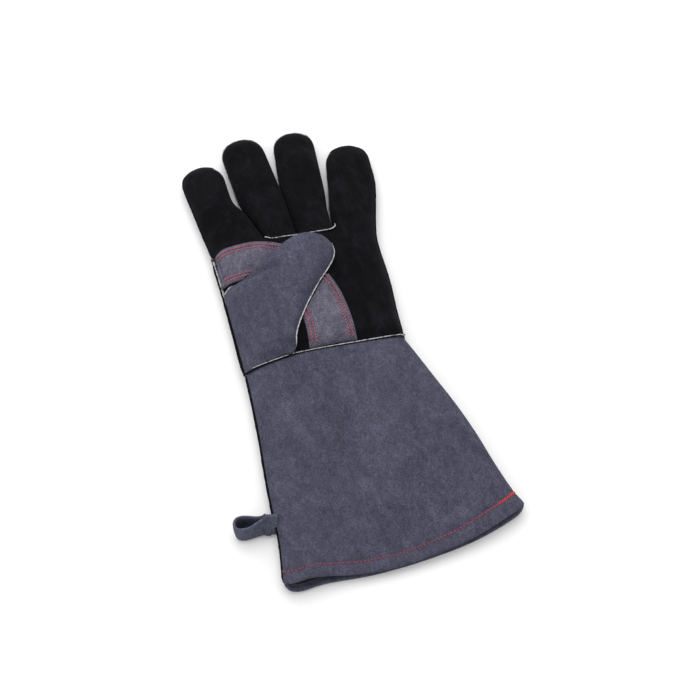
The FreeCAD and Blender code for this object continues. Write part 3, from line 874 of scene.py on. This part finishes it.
def side_welt(name, numbers, body, stand=0.0):
    """A black strip caught in a side seam, with the pale cut edge of another one under it.

    stand is how much further than usual it stands out of the seam.
    """
    path, out = even_path(*along_seam(numbers))
    out[:, 2] *= 0.3
    out = unit(out)
    share = np.linspace(0, 1, len(path))
    path = path + out * (stand * smooth01(8 * (1 - share)) * smooth01(12 * share))[:, None]
    black = strip_on(path, out, 2.0, 2.4 + stand, sink=1.5, waver=0.2, seed=2.0, head=0, tail=0)
    strip(name, black, WELT_BLACK_AND_SHADOW, body, name)
    pale = strip_on(path - WORLD_UP, out, 0.8, 2.0, sink=1.35, waver=0.5, seed=5.0, head=0, tail=0)
    strip(name + "_edge", pale, WELT_SCUFFED, body)


side_welt("hand_side_welt_thumb_side", seams["hand_left"], "hand", stand=0.9)
# short pale bits that show above that strip, beside the patch and the index finger's foot
points, normals = along_seam(seams["hand_left"])
keep = points[:, 1] > 70.0
path, out = resample(points[keep], 24), unit(resample(normals[keep], 24) * (1, 1, 0.5))
bits = strip_on(path + out * 0.7 + WORLD_UP, out, 0.6, 1.5, sink=1.0, waver=0.9, seed=33.0)
strip("hand_side_welt_bits", bits, WELT_SCUFFED, "hand")
side_welt("hand_side_welt_little_side", seams["hand_right"][::-1], "hand")
outer_index = seams["index_front"][:FINGER_ROWS + 1 + FINGERS["index"]["columns"]]
side_welt("index_side_welt", outer_index, BEND["index"])
outer_little = seams["little_front"][::-1][:FINGER_ROWS + 1 + FINGERS["little"]["columns"]][::-1]
side_welt("little_side_welt", outer_little, BEND["little"])

# the pale cut edge that shows where each finger's back meets the strip beside it
for name in NAMES:
    seam = seams[name + "_back"]
    reach = FINGER_ROWS + 1 + FINGERS[name]["columns"] // 2 + 1
    made = []
    for run, neighbour in ((seam, "index"), (seam[::-1], "little")):
        if name != neighbour:
            path, out = even_path(*along_seam(run[:reach]))
            made.append(strip_on(path, out, 1.0, 1.3, sink=0.45, waver=0.3, seed=8.0))
    strip(name + "_back_edge", made, WELT_SCUFFED, BEND[name])


def bridge(heights, reach):
    """Heights along a path that spans its dips instead of following them."""
    padded = np.pad(heights, reach, mode="edge")
    highest = np.array([padded[k:k + 2 * reach + 1].max() for k in range(len(heights))])
    padded = np.pad(highest, reach, mode="edge")
    even = np.array([padded[k:k + 2 * reach + 1].mean() for k in range(len(heights))])
    return np.maximum(np.minimum(even, heights + 2.2), heights)


# the seam across the feet of the two middle fingers
knuckle_plan = spline([(-9.4, 113.0), (-8.0, 110.4), (-3.6, 107.6), (6.0, 105.6), (17.3, 103.0),
                       (29.0, 101.0), (38.0, 99.6), (44.0, 99.4), (47.8, 101.8), (48.8, 106.4)], 60)
path, out = (np.array(found) for found in zip(*(palm_surface.at(*place) for place in knuckle_plan)))
path[:, 2] = bridge(path[:, 2], 9)
out = unit(out * (1, 1, 2))
pale = strip_on(path, out, 0.65, 1.0, sink=0.25, waver=0.3, seed=1.0)
black = strip_on(path, out, 2.4, 1.5, sink=0.8, shift=-0.9, waver=0.2, seed=4.0)
strip("knuckle_welt", pale, WELT_LIGHT, "hand", "knuckle_welt")
strip("knuckle_welt_fold", black, WELT_BLACK_AND_SHADOW, "hand")

# ---------------- the patch on the palm

PATCH_LIFT, PATCH_THICKNESS = 1.3, 1.1
PATCH_SINK = 0.35  # how far its rim, and the leather under its stitches, are pulled down
PATCH_ROWS = (2.8, 5.8)  # how far its rows of stitches lie from its long edges
PATCH_STITCH = {"length": 1.9, "gap": 0.6, "width": 1.2, "lift": 0.3}
outer_edge = spline([(-53.8, 112.4), (-46.0, 115.0), (-37.5, 114.2), (-24.0, 111.8), (-12.6, 107.4),
                     (4.0, 97.0), (16.5, 80.5), (24.0, 65.0), (28.3, 48.0), (29.4, 32.9), (28.6, 15.0),
                     (26.8, -0.4)], 61)
inner_edge = spline([(-55.8, 85.1), (-44.0, 82.6), (-32.8, 80.6), (-20.0, 72.5), (-11.5, 60.0),
                     (-7.5, 45.0), (-6.7, 31.0), (-8.2, 17.0), (-10.7, 5.8)], 61)
patch_left = spline([inner_edge[0], outer_edge[0]], 17)
patch_end = spline([inner_edge[-1], (8.0, 3.2), outer_edge[-1]], 17)
patch_plan = coons(inner_edge, outer_edge, patch_left, patch_end)


def patch_point(along, across, lift=0.0):
    """A place on the patch, from shares along and across it."""
    j, i = across * (patch_plan.shape[0] - 1), along * (patch_plan.shape[1] - 1)
    j0, i0 = min(int(j), patch_plan.shape[0] - 2), min(int(i), patch_plan.shape[1] - 2)
    a, b = j - j0, i - i0
    x, y = ((1 - a) * (1 - b) * patch_plan[j0, i0] + (1 - a) * b * patch_plan[j0, i0 + 1]
            + a * (1 - b) * patch_plan[j0 + 1, i0] + a * b * patch_plan[j0 + 1, i0 + 1])
    hit, normal = palm_surface.at(x, y)
    return hit + normal * lift, normal


grid = np.zeros(patch_plan.shape[:2] + (3,))
for j, i in np.ndindex(grid.shape[:2]):
    hit, normal = palm_surface.at(*patch_plan[j, i])
    row = min(j, grid.shape[0] - 1 - j)
    rim = min(row, i, grid.shape[1] - 1 - i)
    lift = PATCH_LIFT - (PATCH_SINK if rim == 0 else 0.0) - (PATCH_SINK if row in (2, 4) else 0.0)
    grid[j, i] = hit + normal * lift
put(shell("palm_patch", grid, PATCH_THICKNESS, GREY_PATCH), "hand", "grey_suede", "palm_patch")

rows = []
for inset in PATCH_ROWS:
    for far in (False, True):
        places = []
        for along in np.linspace(0.03, 0.999, 120):
            width = np.linalg.norm(patch_point(along, 1)[0] - patch_point(along, 0)[0])
            share = inset / width
            places.append(patch_point(along, 1 - share if far else share, PATCH_LIFT))
        path, out = (np.array(found) for found in zip(*places))
        rows += stitches(path, out, **PATCH_STITCH)
put(piece("patch_stitching", rows, PATCH_THREAD), "hand", "patch_thread", "patch_stitching")

# ---------------- the thumb

THUMB_COLUMNS, THUMB_ROWS = 44, 22
THUMB_DOME, THUMB_REACH = 13.0, 11.0
UNDER_DOME = -3.5  # how far its underside hangs
CREASE_DEPTH, CREASE_WIDTH = 5.2, 2.1
UNDER_FROM = 6  # the column where the underside starts
UNDER_CLEARANCE = 2.4  # how far over the palm its underside stays
THUMB_FREE = -21.4  # its lower edge follows the wrist seam as far as this, and is free beyond it
thumb_low = spline([(-63.6, 7.3), (-47.0, 6.6), (-33.0, 6.4), (THUMB_FREE, 6.0), (-17.9, 14.2),
                    (-11.4, 24.4), (0.4, 38.2), (13.6, 51.2), (26.3, 62.2), (34.6, 70.4), (38.0, 77.6)],
                   THUMB_COLUMNS + 1)
thumb_high = spline([(-56.2, 79.5), (-48.0, 80.6), (-40.0, 81.2), (-33.0, 83.4), (-25.5, 87.4),
                     (-16.0, 91.6), (-6.6, 95.0), (3.0, 97.8), (13.0, 99.2)], THUMB_COLUMNS + 1)
thumb_left = spline([thumb_low[0], (-60.0, 42.0), thumb_high[0]], THUMB_ROWS + 1)
thumb_tip = spline([thumb_low[-1], (38.0, 85.6), (33.8, 93.6), (25.0, 98.7), thumb_high[-1]],
                   THUMB_ROWS + 1)
thumb_plan = coons(thumb_low, thumb_high, thumb_left, thumb_tip)


def height_along(line, stops):
    """Heights along a line in the plane, from pairs of a distance along it and a height."""
    return follow(stops, distances(line))


def palm_z(x, y):
    return float(palm_surface.at(x, y)[0][2])


thumb_skin = Skin()
top = thumb_skin.lay_points(thumb_plan)
low_z = height_along(thumb_low, [(0, 10.0), (43, 17.0), (48, 18.6), (62, 21.5), (90, 25.0), (135, 27.5)])
at_seam = thumb_low[:, 0] < THUMB_FREE
low_z[at_seam] = wrist_height(thumb_low[at_seam, 0])[0] + 0.9
high_z = height_along(thumb_high, [(0, 10.5), (8, 17.2), (16, 20.6), (28, 23.0), (40, 25.0), (60, 26.5),
                                   (80, 27.5)])
for c in range(THUMB_COLUMNS + 1):
    over_palm = palm_z(*thumb_plan[0, c]) + 1.2
    thumb_skin.pin(top[0, c], float(low_z[c]) if at_seam[c] else max(low_z[c], over_palm))
    over_palm = palm_z(*thumb_plan[-1, c]) + 1.8 if c > 1 else 0.0
    thumb_skin.pin(top[-1, c], max(float(high_z[c]), over_palm))
for r in range(1, THUMB_ROWS):
    thumb_skin.pin(top[r, 0], 10.0 + 0.5 * r / THUMB_ROWS)
    thumb_skin.pin(top[r, -1], 27.5)
thumb_skin.grid(top, "outer")
under = top[:, UNDER_FROM:].copy()
for r in range(1, THUMB_ROWS):
    for c in range(under.shape[1] - 1):
        x, y = thumb_plan[r, c + UNDER_FROM]
        under[r, c] = thumb_skin.point(x, y)
        if c == 0:
            thumb_skin.pin(under[r, c], palm_z(x, y) + 1.0)
thumb_skin.grid(under, "under", flip=True)
fill_out(thumb_skin, {"outer"}, THUMB_DOME, THUMB_REACH)
fill_out(thumb_skin, {"under"}, UNDER_DOME, THUMB_REACH)
soften(thumb_skin, {"outer"}, 4, 0.5)
rumple(thumb_skin, {"outer"}, [(1.3, 30.0), (0.4, 11.0)], 6.0)
calm(thumb_skin, {"outer"}, 0.9, right=-26.0)
crease = spline([(-38.0, 80.0), (-31.0, 78.6), (-23.0, 76.4), (-14.0, 75.2), (-4.0, 76.4)], 40)


def creased(x, y, z):
    """The height of a place on the thumb once the fold across its foot is pressed in."""
    away = np.linalg.norm(crease - (x, y), axis=1).min()
    fade = (1 - smooth01((x + 12.0) / 12.0)) * smooth01((x + 42.0) / 8.0)
    return z - CREASE_DEPTH * fade * float(np.exp(-(away / CREASE_WIDTH) ** 2))


thumb_skin.reshape(top, creased)
thumb_skin.reshape(under, lambda x, y, z: max(z, palm_z(x, y) + UNDER_CLEARANCE))
thumb = refine(thumb_skin)
THUMB_BEND = ("hand", "thumb", *along_joint("thumb_unfold", 7.0, 23.0))
panel("thumb_outer", thumb, {"outer"}, GREY_PANEL, THUMB_BEND, "thumb_wing")
panel("thumb_inner", thumb, {"under"}, THIN_GREY_PANEL, THUMB_BEND)
panel("thumb_lining", thumb, {"outer"}, LINING_PANEL, THUMB_BEND)

# the seam along its free lower edge, as far as its tip
edge = [top[0, c] for c in range(THUMB_COLUMNS + 1) if thumb_plan[0, c][0] > -22.0]
edge += [top[r, -1] for r in range(1, THUMB_ROWS // 4)]
path, out = even_path(thumb[0][edge], thumb[3][edge])
pale = strip_on(path + 0.9 * WORLD_UP, out, 0.55, 1.1, sink=0.45, waver=0.2, seed=3.0, tail=6)
# the black strip is partly the welt's black leather and partly painted shadow: it sticks out beyond the
# pale edge as the dark line of shade beside the seam
black = strip_on(path - 0.8 * WORLD_UP, out, 2.6, 3.0, sink=1.1, shift=0.9, waver=0.2, seed=6.0, tail=7)
strip("thumb_welt", pale, WELT_LIGHT, THUMB_BEND, "thumb_welt")
strip("thumb_welt_fold_and_shadow", black, WELT_BLACK_AND_SHADOW, THUMB_BEND)

# the short seam at the top of its wing, beside the palm's edge
short = [top[-1, c] for c in range(THUMB_COLUMNS + 1) if thumb_plan[-1, c][0] < -46.5]
path, out = resample(thumb[0][short], 10), unit(resample(thumb[3][short], 10))
out = unit(out + 0.8 * WORLD_UP)
pale = strip_on(path, out, 0.7, 1.4, sink=0.3, shift=0.3, waver=0.25, seed=3.0)
black = strip_on(path, out, 2.0, 2.0, sink=0.8, shift=-0.9, waver=0.2, seed=6.0)
strip("thumb_seam_end", pale, WELT_LIGHT, THUMB_BEND)
strip("thumb_seam_end_fold", black, WELT_BLACK_AND_SHADOW, THUMB_BEND)

# ---------------- the cuff

CUFF_AROUND, CUFF_ALONG = 56, 92  # columns across each half, rows from the wrist to the hem
HEM = 10.5  # depth of the turned hem
STITCH_INSET, STITCH_SPREAD = 8.0, 2.4  # how far its stitches lie from the fold, and further at the right
CUFF_RUMPLE = [(1.7, 1.0), (0.5, 3.4)]  # pairs of a height and how fine its noise is
HEM_STITCH = {"length": 1.9, "gap": 0.8, "width": 1.05, "lift": 0.35}
TACK_WIDTH, TACK_HEIGHT = 0.95, 0.8  # the bar tack's thread
TACK_REACH = 1.5  # how far its stitches reach to each side
CUFF_TOP, CUFF_SAG = 19.5, 2.5  # height of its front, and how much lower it is towards the hem
cuff_wrist = spline(WRIST_CURVE, CUFF_AROUND + 1)
cuff_left = spline([cuff_wrist[0], (-67.6, -16.0), (-72.6, -47.0), (-78.2, -76.0), (-82.8, -103.6),
                    (-86.0, -128.0), (-91.0, -149.0), (-94.2, -160.0)], CUFF_ALONG + 1)
cuff_right = spline([cuff_wrist[-1], (68.6, -24.0), (74.2, -49.0), (80.2, -76.0), (84.6, -103.0),
                     (87.4, -130.0), (91.2, -155.0), (94.8, -166.6)], CUFF_ALONG + 1)
cuff_hem = spline([cuff_left[-1], (-94.2, -164.2), (-90.8, -168.0), (-83.0, -170.0), (-69.0, -170.0),
                   (-54.0, -172.4), (-36.0, -176.0), (-17.0, -178.4), (11.0, -180.2), (41.5, -180.2),
                   (62.6, -178.0), (82.4, -174.3), (89.6, -172.4), (93.4, -170.0), cuff_right[-1]],
                  CUFF_AROUND + 1)
# how high the front of the mouth stands, at shares of the way across from -1 to 1
LIP = [(-1.0, 20.0), (-0.84, 20.0), (-0.7, 16.5), (-0.52, 12.0), (-0.3, 9.8), (0.0, 9.6), (0.4, 11.6),
       (0.7, 14.0), (1.0, 14.0)]
# how far the front of the mouth is pulled back from the back
PULL = [(-1.0, 0.0), (-0.9, 2.6), (-0.78, 3.4), (-0.6, 1.8), (-0.4, 0.2), (-0.1, -0.9), (0.4, -0.3),
        (0.7, 0.8), (0.94, 1.5), (1.0, 0.0)]
cuff_plan = coons(cuff_wrist, cuff_hem, cuff_left, cuff_right)


def cuff_heights(share, across):
    """Heights of the cuff, front and back, at shares of the way to the hem and across it from -1 to 1."""
    wrist_top, wrist_low = wrist_height(across * WRIST_HALF)
    top = CUFF_TOP - CUFF_SAG * smooth01((share - 0.35) / 0.5)
    top += (follow(LIP, across) - top) * smooth01((share - 0.72) / 0.28)
    blunt = 5.0 + 3.0 * share if across > 0 else 5.0
    full = max(1 - abs(across) ** blunt, 0.0)
    left = 0.85 - 0.4 * smooth01((share - 0.5) / 0.4)
    power = left if across < 0 else 0.5
    front = EDGE_Z + (top - EDGE_Z) * full ** power
    back = EDGE_Z - (EDGE_Z - FLOOR_GAP) * full ** power
    blend = smooth01(share / 0.16)
    return wrist_top + (front - wrist_top) * blend, wrist_low + (back - wrist_low) * blend


def cuff_ring():
    """Rings of points round the cuff, from the wrist seam to the hem, across the front and back again."""
    rings = np.zeros((CUFF_ALONG + 1, 2 * CUFF_AROUND, 3))
    for j in range(CUFF_ALONG + 1):
        share = j / CUFF_ALONG
        for i in range(2 * CUFF_AROUND):
            c = i if i <= CUFF_AROUND else 2 * CUFF_AROUND - i
            x, y = cuff_plan[j, c]
            across = 2 * c / CUFF_AROUND - 1
            front, back = cuff_heights(share, across)
            z = front if i <= CUFF_AROUND else back
            inland = smooth01(share / 0.1) * (1 - abs(across) ** 4)
            size = 1.0 if i <= CUFF_AROUND else 0.3
            near = Vector((x / 48, y / 48, 0.5 if i <= CUFF_AROUND else 7.0))
            for height, fineness in CUFF_RUMPLE:
                z += height * size * inland * noise.noise(near * fineness)
            if i <= CUFF_AROUND:
                y += follow(PULL, across) * smooth01((share - 0.88) / 0.12)
            rings[j, i] = x, y, max(z, FLOOR_GAP * 0.6)
    return rings


rings = cuff_ring()
for _ in range(2):
    around = (np.roll(rings, 1, axis=1) + np.roll(rings, -1, axis=1)) / 2
    along = (rings[:-2] + rings[2:]) / 2
    rings[-1] = rings[-1] * 0.6 + around[-1] * 0.4
    rings[1:-1] = rings[1:-1] * 0.6 + around[1:-1] * 0.3 + along * 0.1


def ring_normals(r):
    """The outward direction at every point of the cuff's rings."""
    around = np.roll(r, -1, axis=1) - np.roll(r, 1, axis=1)
    along = np.gradient(r, axis=0)
    return unit(np.cross(along, around))


cuff_normals = ring_normals(rings)
lengths = np.linalg.norm(np.diff(rings, axis=0), axis=2)
to_hem = lengths.sum(axis=0) - np.vstack([np.zeros(rings.shape[1]), np.cumsum(lengths, axis=0)])
from_hem = to_hem.mean(axis=1)
column = np.arange(rings.shape[1])
across = np.where(column <= CUFF_AROUND, column, 2 * CUFF_AROUND - column) / CUFF_AROUND
stitch_inset = STITCH_INSET + STITCH_SPREAD * smooth01((across - 0.55) / 0.3)
# the stitches pull the leather in, and the hem bulges beyond them, but the cuff's sides stay straight
groove = 1.0 * np.exp(-((to_hem - stitch_inset) / 1.5) ** 2)
groove -= 0.7 * np.exp(-((to_hem - stitch_inset / 2) / 3.0) ** 2)
groove *= 1 - 0.9 * np.exp(-((1 - abs(2 * across - 1)) / 0.08) ** 2)
rings = rings - cuff_normals * groove[:, :, None]
cuff_normals = ring_normals(rings)


def looped_tube(rows):
    """A closed tube through rows of rings, whose last ring joins its first."""
    size = len(rows[0])
    faces = tube_faces(len(rows), size)
    last = (len(rows) - 1) * size
    for i in range(size):
        n = (i + 1) % size
        faces.append([last + i, i, n, last + n])
    return np.array(rows).reshape(-1, 3), faces


def cuff_layers():
    """The cuff's closed skin: its outer face, the fold at the hem, the hem's inner face and the inside."""
    rows = [(j, 0.0, 0.0) for j in range(CUFF_ALONG)]
    last = CUFF_ALONG
    for angle in np.linspace(0, math.pi, 7):
        rows.append((last, LEATHER * (1 - math.cos(angle)), LEATHER * math.sin(angle)))
    turned = [j for j in range(CUFF_ALONG) if from_hem[j] < HEM]
    rows += [(j, 2 * LEATHER, 0.0) for j in reversed(turned)]
    rows += [(j, LEATHER, 0.0) for j in range(turned[0] - 1, -1, -1)]
    tangent = unit(rings[-1] - rings[-3])
    return looped_tube([rings[j] - cuff_normals[j] * depth + tangent * beyond
                        for j, depth, beyond in rows])


WRIST_BEND = ("hand", "cuff", (0.0, -0.008, 0.011), (0.0, -0.044, 0.011))
put(piece("cuff_panel", cuff_layers(), GREY), WRIST_BEND, "grey_suede", "cuff_panel")

lining_rows = [j for j in range(CUFF_ALONG + 1) if from_hem[j] > 2.2]
over_hem = LEATHER * (1 - smooth01((from_hem - HEM - 1) / 3))  # the lining lies over the turned hem too
outside = [rings[j] - cuff_normals[j] * (LEATHER + 0.2 + over_hem[j]) for j in lining_rows]
inside = [rings[j] - cuff_normals[j] * (LEATHER + 1.0 + over_hem[j]) for j in reversed(lining_rows)]
put(piece("cuff_lining", looped_tube(outside + inside), LINING), WRIST_BEND, "lining", "cuff_lining")

path, out = even_path(rings[:, 0], cuff_normals[:, 0])
black = strip_on(path, out, 2.2, 2.6, sink=1.3, waver=0.25, seed=12.0)
pale = strip_on(path - WORLD_UP, out, 0.8, 2.0, sink=1.2, waver=0.5, seed=15.0)
strip("cuff_side_welt", black, WELT_BLACK_AND_SHADOW, WRIST_BEND, "cuff_side_welt")
strip("cuff_side_welt_edge", pale, WELT_SCUFFED, WRIST_BEND)


def hem_path(first, last):
    """Places and normals along the hem's row of stitches, between two columns. It wanders a little."""
    places, normals = [], []
    for k in np.arange(first, last + 1) % rings.shape[1]:
        wander = 0.5 * noise.noise(Vector((k / 5.0, 2.0, 0)))
        row = float(np.interp(-(stitch_inset[k] + wander), -to_hem[:, k], np.arange(len(to_hem))))
        low = int(row)
        share = row - low
        places.append(rings[low, k] * (1 - share) + rings[low + 1, k] * share)
        normals.append(cuff_normals[low, k])
    return even_path(places, normals, 1.0)


path, out = hem_path(0, rings.shape[1])
put(piece("hem_stitching", stitches(path, out, **HEM_STITCH), HEM_THREAD), "cuff", "hem_thread",
    "hem_stitching")


def bar_tack():
    """Thick slanted stitches sewn back and forth over the row, at the little finger's side."""
    path, out = hem_path(int(0.895 * CUFF_AROUND), int(0.985 * CUFF_AROUND))
    across, up = frames(path, out)
    along = unit(np.gradient(path, axis=0))
    made = []
    for k in range(1, len(path) - 1):
        side = 1 if k % 2 else -1
        reach = TACK_REACH + 0.6 * noise.noise(Vector((k * 0.9, 4.0, 0)))
        start = path[k] - across[k] * reach * side - along[k] * 1.2
        stop = path[k] + across[k] * reach * side + along[k] * 1.2
        bow = np.array([-0.3, 0.35, 0.55, 0.35, -0.3])[:, None]
        line = between(start, stop, len(bow)) + out[k] * bow
        sides, ups = frames(line, np.repeat(out[k][None], 5, axis=0))
        size = np.array([0.5, 0.95, 1.0, 0.95, 0.5])[:, None]
        made.append(sweep(line, sides * size, ups * size, oval(TACK_WIDTH, TACK_HEIGHT, 6)))
    return made


put(piece("hem_bar_tack", bar_tack(), TACK_THREAD), "cuff", "hem_thread", "hem_bar_tack")


# ---------------- the seam at the wrist

def wrist_seam(back=False):
    """Places and directions along the wrist seam, on the front or the back."""
    columns = list(range(0, CUFF_AROUND + 1))
    if back:
        columns = [(2 * CUFF_AROUND - c) % (2 * CUFF_AROUND) for c in columns]
    return even_path(rings[0, columns], unit(cuff_normals[1, columns]), 1.6)


path, out = wrist_seam()
out[:, 2] = np.maximum(out[:, 2], 0.35)
out = unit(out)
count = len(path)
share = np.linspace(0, 1, count)
# the black strip beside the pale wrist welt is partly black welt leather and partly painted shadow,
# thickest as a dark wedge of shade towards its left end
heavy = 1 - smooth01((share - 0.05) / 0.12)
beside = np.array([palm_z(x, y + 0.5) for x, y, _ in path])
path[:, 2] = np.maximum(path[:, 2] + 0.1, bridge(beside, 3) - 0.2)
path[:, 2] += 0.7 * (1 - smooth01((path[:, 0] + 24.0) / 8.0)) * smooth01((path[:, 0] + 64.0) / 8.0)
across, up = frames(path, out)
base = path + across * (0.3 + 0.6 * heavy)[:, None]
across, up = across * (0.4 + 0.4 * heavy)[:, None], up * (0.6 + 0.2 * heavy)[:, None]
strip("wrist_welt_front_fold_and_shadow", sweep(base, across, up, oval(2.0, 1.8)), WELT_BLACK_AND_SHADOW, "hand")
first = int(count * 0.07)
path, out = path[first:] + (0, 0.35, 0.2), out[first:]
pale = strip_on(path, out, 0.7, 1.6, sink=0.8, waver=0.3, seed=21.0)
strip("wrist_welt_front", pale, WELT_LIGHT, "hand", "wrist_welt_front")
path, out = wrist_seam(back=True)
black = strip_on(path, out, 1.8, 1.5, sink=1.0, waver=0.2, seed=24.0)
strip("wrist_welt_back", black, WELT_BLACK_AND_SHADOW, "hand", "wrist_welt_back")

# ---------------- the hanging loop

swing = np.array(JOINTS["loop_swing"]["pos_m"]) / MM
heading = math.radians(167.0)  # the way the loop points, anticlockwise from +X
LOOP_LONG, LOOP_HALF, LOOP_LOW, LOOP_TALL, STRAP = 24.4, 5.0, 1.4, 17.6, 1.8
LOOP_LEAN, LOOP_TWIST = 2.0, 7.5  # how far its top edge leans back, and how much further at the root


def loop_strap():
    """A strap bent into a teardrop that stands on its edge, with both its ends together at the root."""
    ahead = np.array([math.cos(heading), math.sin(heading)])
    side = np.array([-ahead[1], ahead[0]])
    halfway = [(0.0, 1.0), (0.15, 1.2), (0.32, 2.4), (0.53, 4.2), (0.74, LOOP_HALF), (0.92, 3.9)]
    middle = [*halfway, (1.0, 0.0), *((along, -beside) for along, beside in reversed(halfway))]
    line = spline([(along * LOOP_LONG, beside) for along, beside in middle], 90)
    plan = swing[:2] + np.outer(line[:, 0], ahead) + np.outer(line[:, 1], side)
    tangent = unit(np.gradient(plan, axis=0))
    normal = np.stack([-tangent[:, 1], tangent[:, 0]], axis=1)
    half = STRAP / 2
    section = [(-half, h) for h in np.linspace(0.06, 0.94, 9)]
    section += [(-half * 0.5, 1.0), (half * 0.5, 1.0)]
    section += [(half, h) for h in np.linspace(0.94, 0.06, 9)]
    section += [(half * 0.5, 0.0), (-half * 0.5, 0.0)]
    made = []
    for k, (x, y) in enumerate(plan):
        root = math.exp(-min(line[k, 0], 16.0) / 6.5)
        lean = 0.9 * math.sin(k / len(plan) * 2 * math.pi)
        for s, h in section:
            tall = LOOP_TALL * (1 - 0.04 * root)
            z = LOOP_LOW + 0.4 * root + tall * h + 0.35 * noise.noise(Vector((k / 11.0, 3.0, h)))
            bulge = 0.5 * math.sin(h * math.pi) * (1 - root)
            out = s + lean * (h - 0.5) * 0.8 + bulge
            tip_back = (LOOP_LEAN + LOOP_TWIST * root) * (h - 0.5)
            made.append((x + normal[k, 0] * out, y + normal[k, 1] * out + tip_back, z))
    size = len(section)
    faces = tube_faces(len(plan), size)
    faces.append(list(range(size)))
    faces.append([(len(plan) - 1) * size + m for m in range(size)][::-1])
    return np.array(made), faces


put(piece("hang_loop", loop_strap(), GREY_LOOP), "loop", "grey_suede", "hang_loop")


def loop_end():
    """The strap's two ends, twisted together where they go into the cuff's side seam."""
    ahead = np.array([math.cos(heading), math.sin(heading), 0.0])
    start = np.array([*swing[:2], 10.4]) + ahead * 2.6
    stop = np.array([*swing[:2], 9.4]) - ahead * 7.5
    path, share = between(start, stop, 14), np.linspace(0, 1, 14)
    side = np.cross(ahead, WORLD_UP)
    twist = -math.radians(30) - math.radians(4) * share
    across = np.outer(np.cos(twist), side) + np.outer(np.sin(twist), WORLD_UP)
    up = np.outer(-np.sin(twist), side) + np.outer(np.cos(twist), WORLD_UP)
    thick, tall = 3.9 + 0.3 * np.sin(share * 9), 19.2 - 2.6 * share
    blunt = oval(2.0, 2.0, 24)
    blunt = np.sign(blunt) * abs(blunt) ** 0.5
    return sweep(path, across * thick[:, None] / 2, up * tall[:, None] / 2, blunt)


put(piece("hang_loop_end", loop_end(), GREY_LOOP), "cuff", "grey_suede", "hang_loop_end")

# ---------------- floor, light and camera

def lay_floor():
    bpy.ops.mesh.primitive_grid_add(x_subdivisions=4, y_subdivisions=4, size=6.0, location=(0, 0, 0))
    floor = bpy.context.object
    floor.name = "studio_floor"
    n = Nodes("studio_paper", 0.85, specular=0.1)
    tone = n.ramp(n.noise(400, detail=1), (0.3, 0.86), (0.7, 0.88))
    floor.data.materials.append(n.finish(tone))


def area_light(name, place, target, size, power):
    light = bpy.data.lights.new(name, "AREA")
    light.shape, light.size, light.energy = "DISK", size, power
    obj = bpy.data.objects.new(name, light)
    bpy.context.scene.collection.objects.link(obj)
    obj.location = place
    obj.rotation_euler = (Vector(target) - Vector(place)).to_track_quat("-Z", "Y").to_euler()


LENS, SENSOR = 77.1, 36.0
AZIMUTH, ELEVATION, DISTANCE = math.radians(-21.34), math.radians(62.0), 1.171
TARGET = Vector((0.0195, -0.0034, 0.012))


def set_up_camera():
    back = Vector((math.sin(AZIMUTH) * math.cos(ELEVATION), -math.cos(AZIMUTH) * math.cos(ELEVATION),
                   math.sin(ELEVATION)))
    camera = bpy.data.objects.new("camera", bpy.data.cameras.new("camera"))
    bpy.context.scene.collection.objects.link(camera)
    camera.data.lens, camera.data.sensor_width = LENS, SENSOR
    camera.location = TARGET + back * DISTANCE
    camera.rotation_euler = (-back).to_track_quat("-Z", "Y").to_euler()
    bpy.context.scene.camera = camera


lay_floor()
area_light("light_above", (0.1, 0.8, 1.5), (0, 0, 0), 1.8, 17)
area_light("light_left", (-1.4, 0.1, 0.9), (0, 0, 0), 1.0, 5)
area_light("light_right", (1.3, -0.5, 0.9), (0, 0, 0), 1.0, 3)
world = bpy.data.worlds.new("studio")
world.use_nodes = True
world.node_tree.nodes["Background"].inputs["Color"].default_value = (1, 1, 1, 1)
world.node_tree.nodes["Background"].inputs["Strength"].default_value = 0.8
bpy.context.scene.world = world
bpy.context.scene.view_settings.view_transform = "Standard"
set_up_camera()
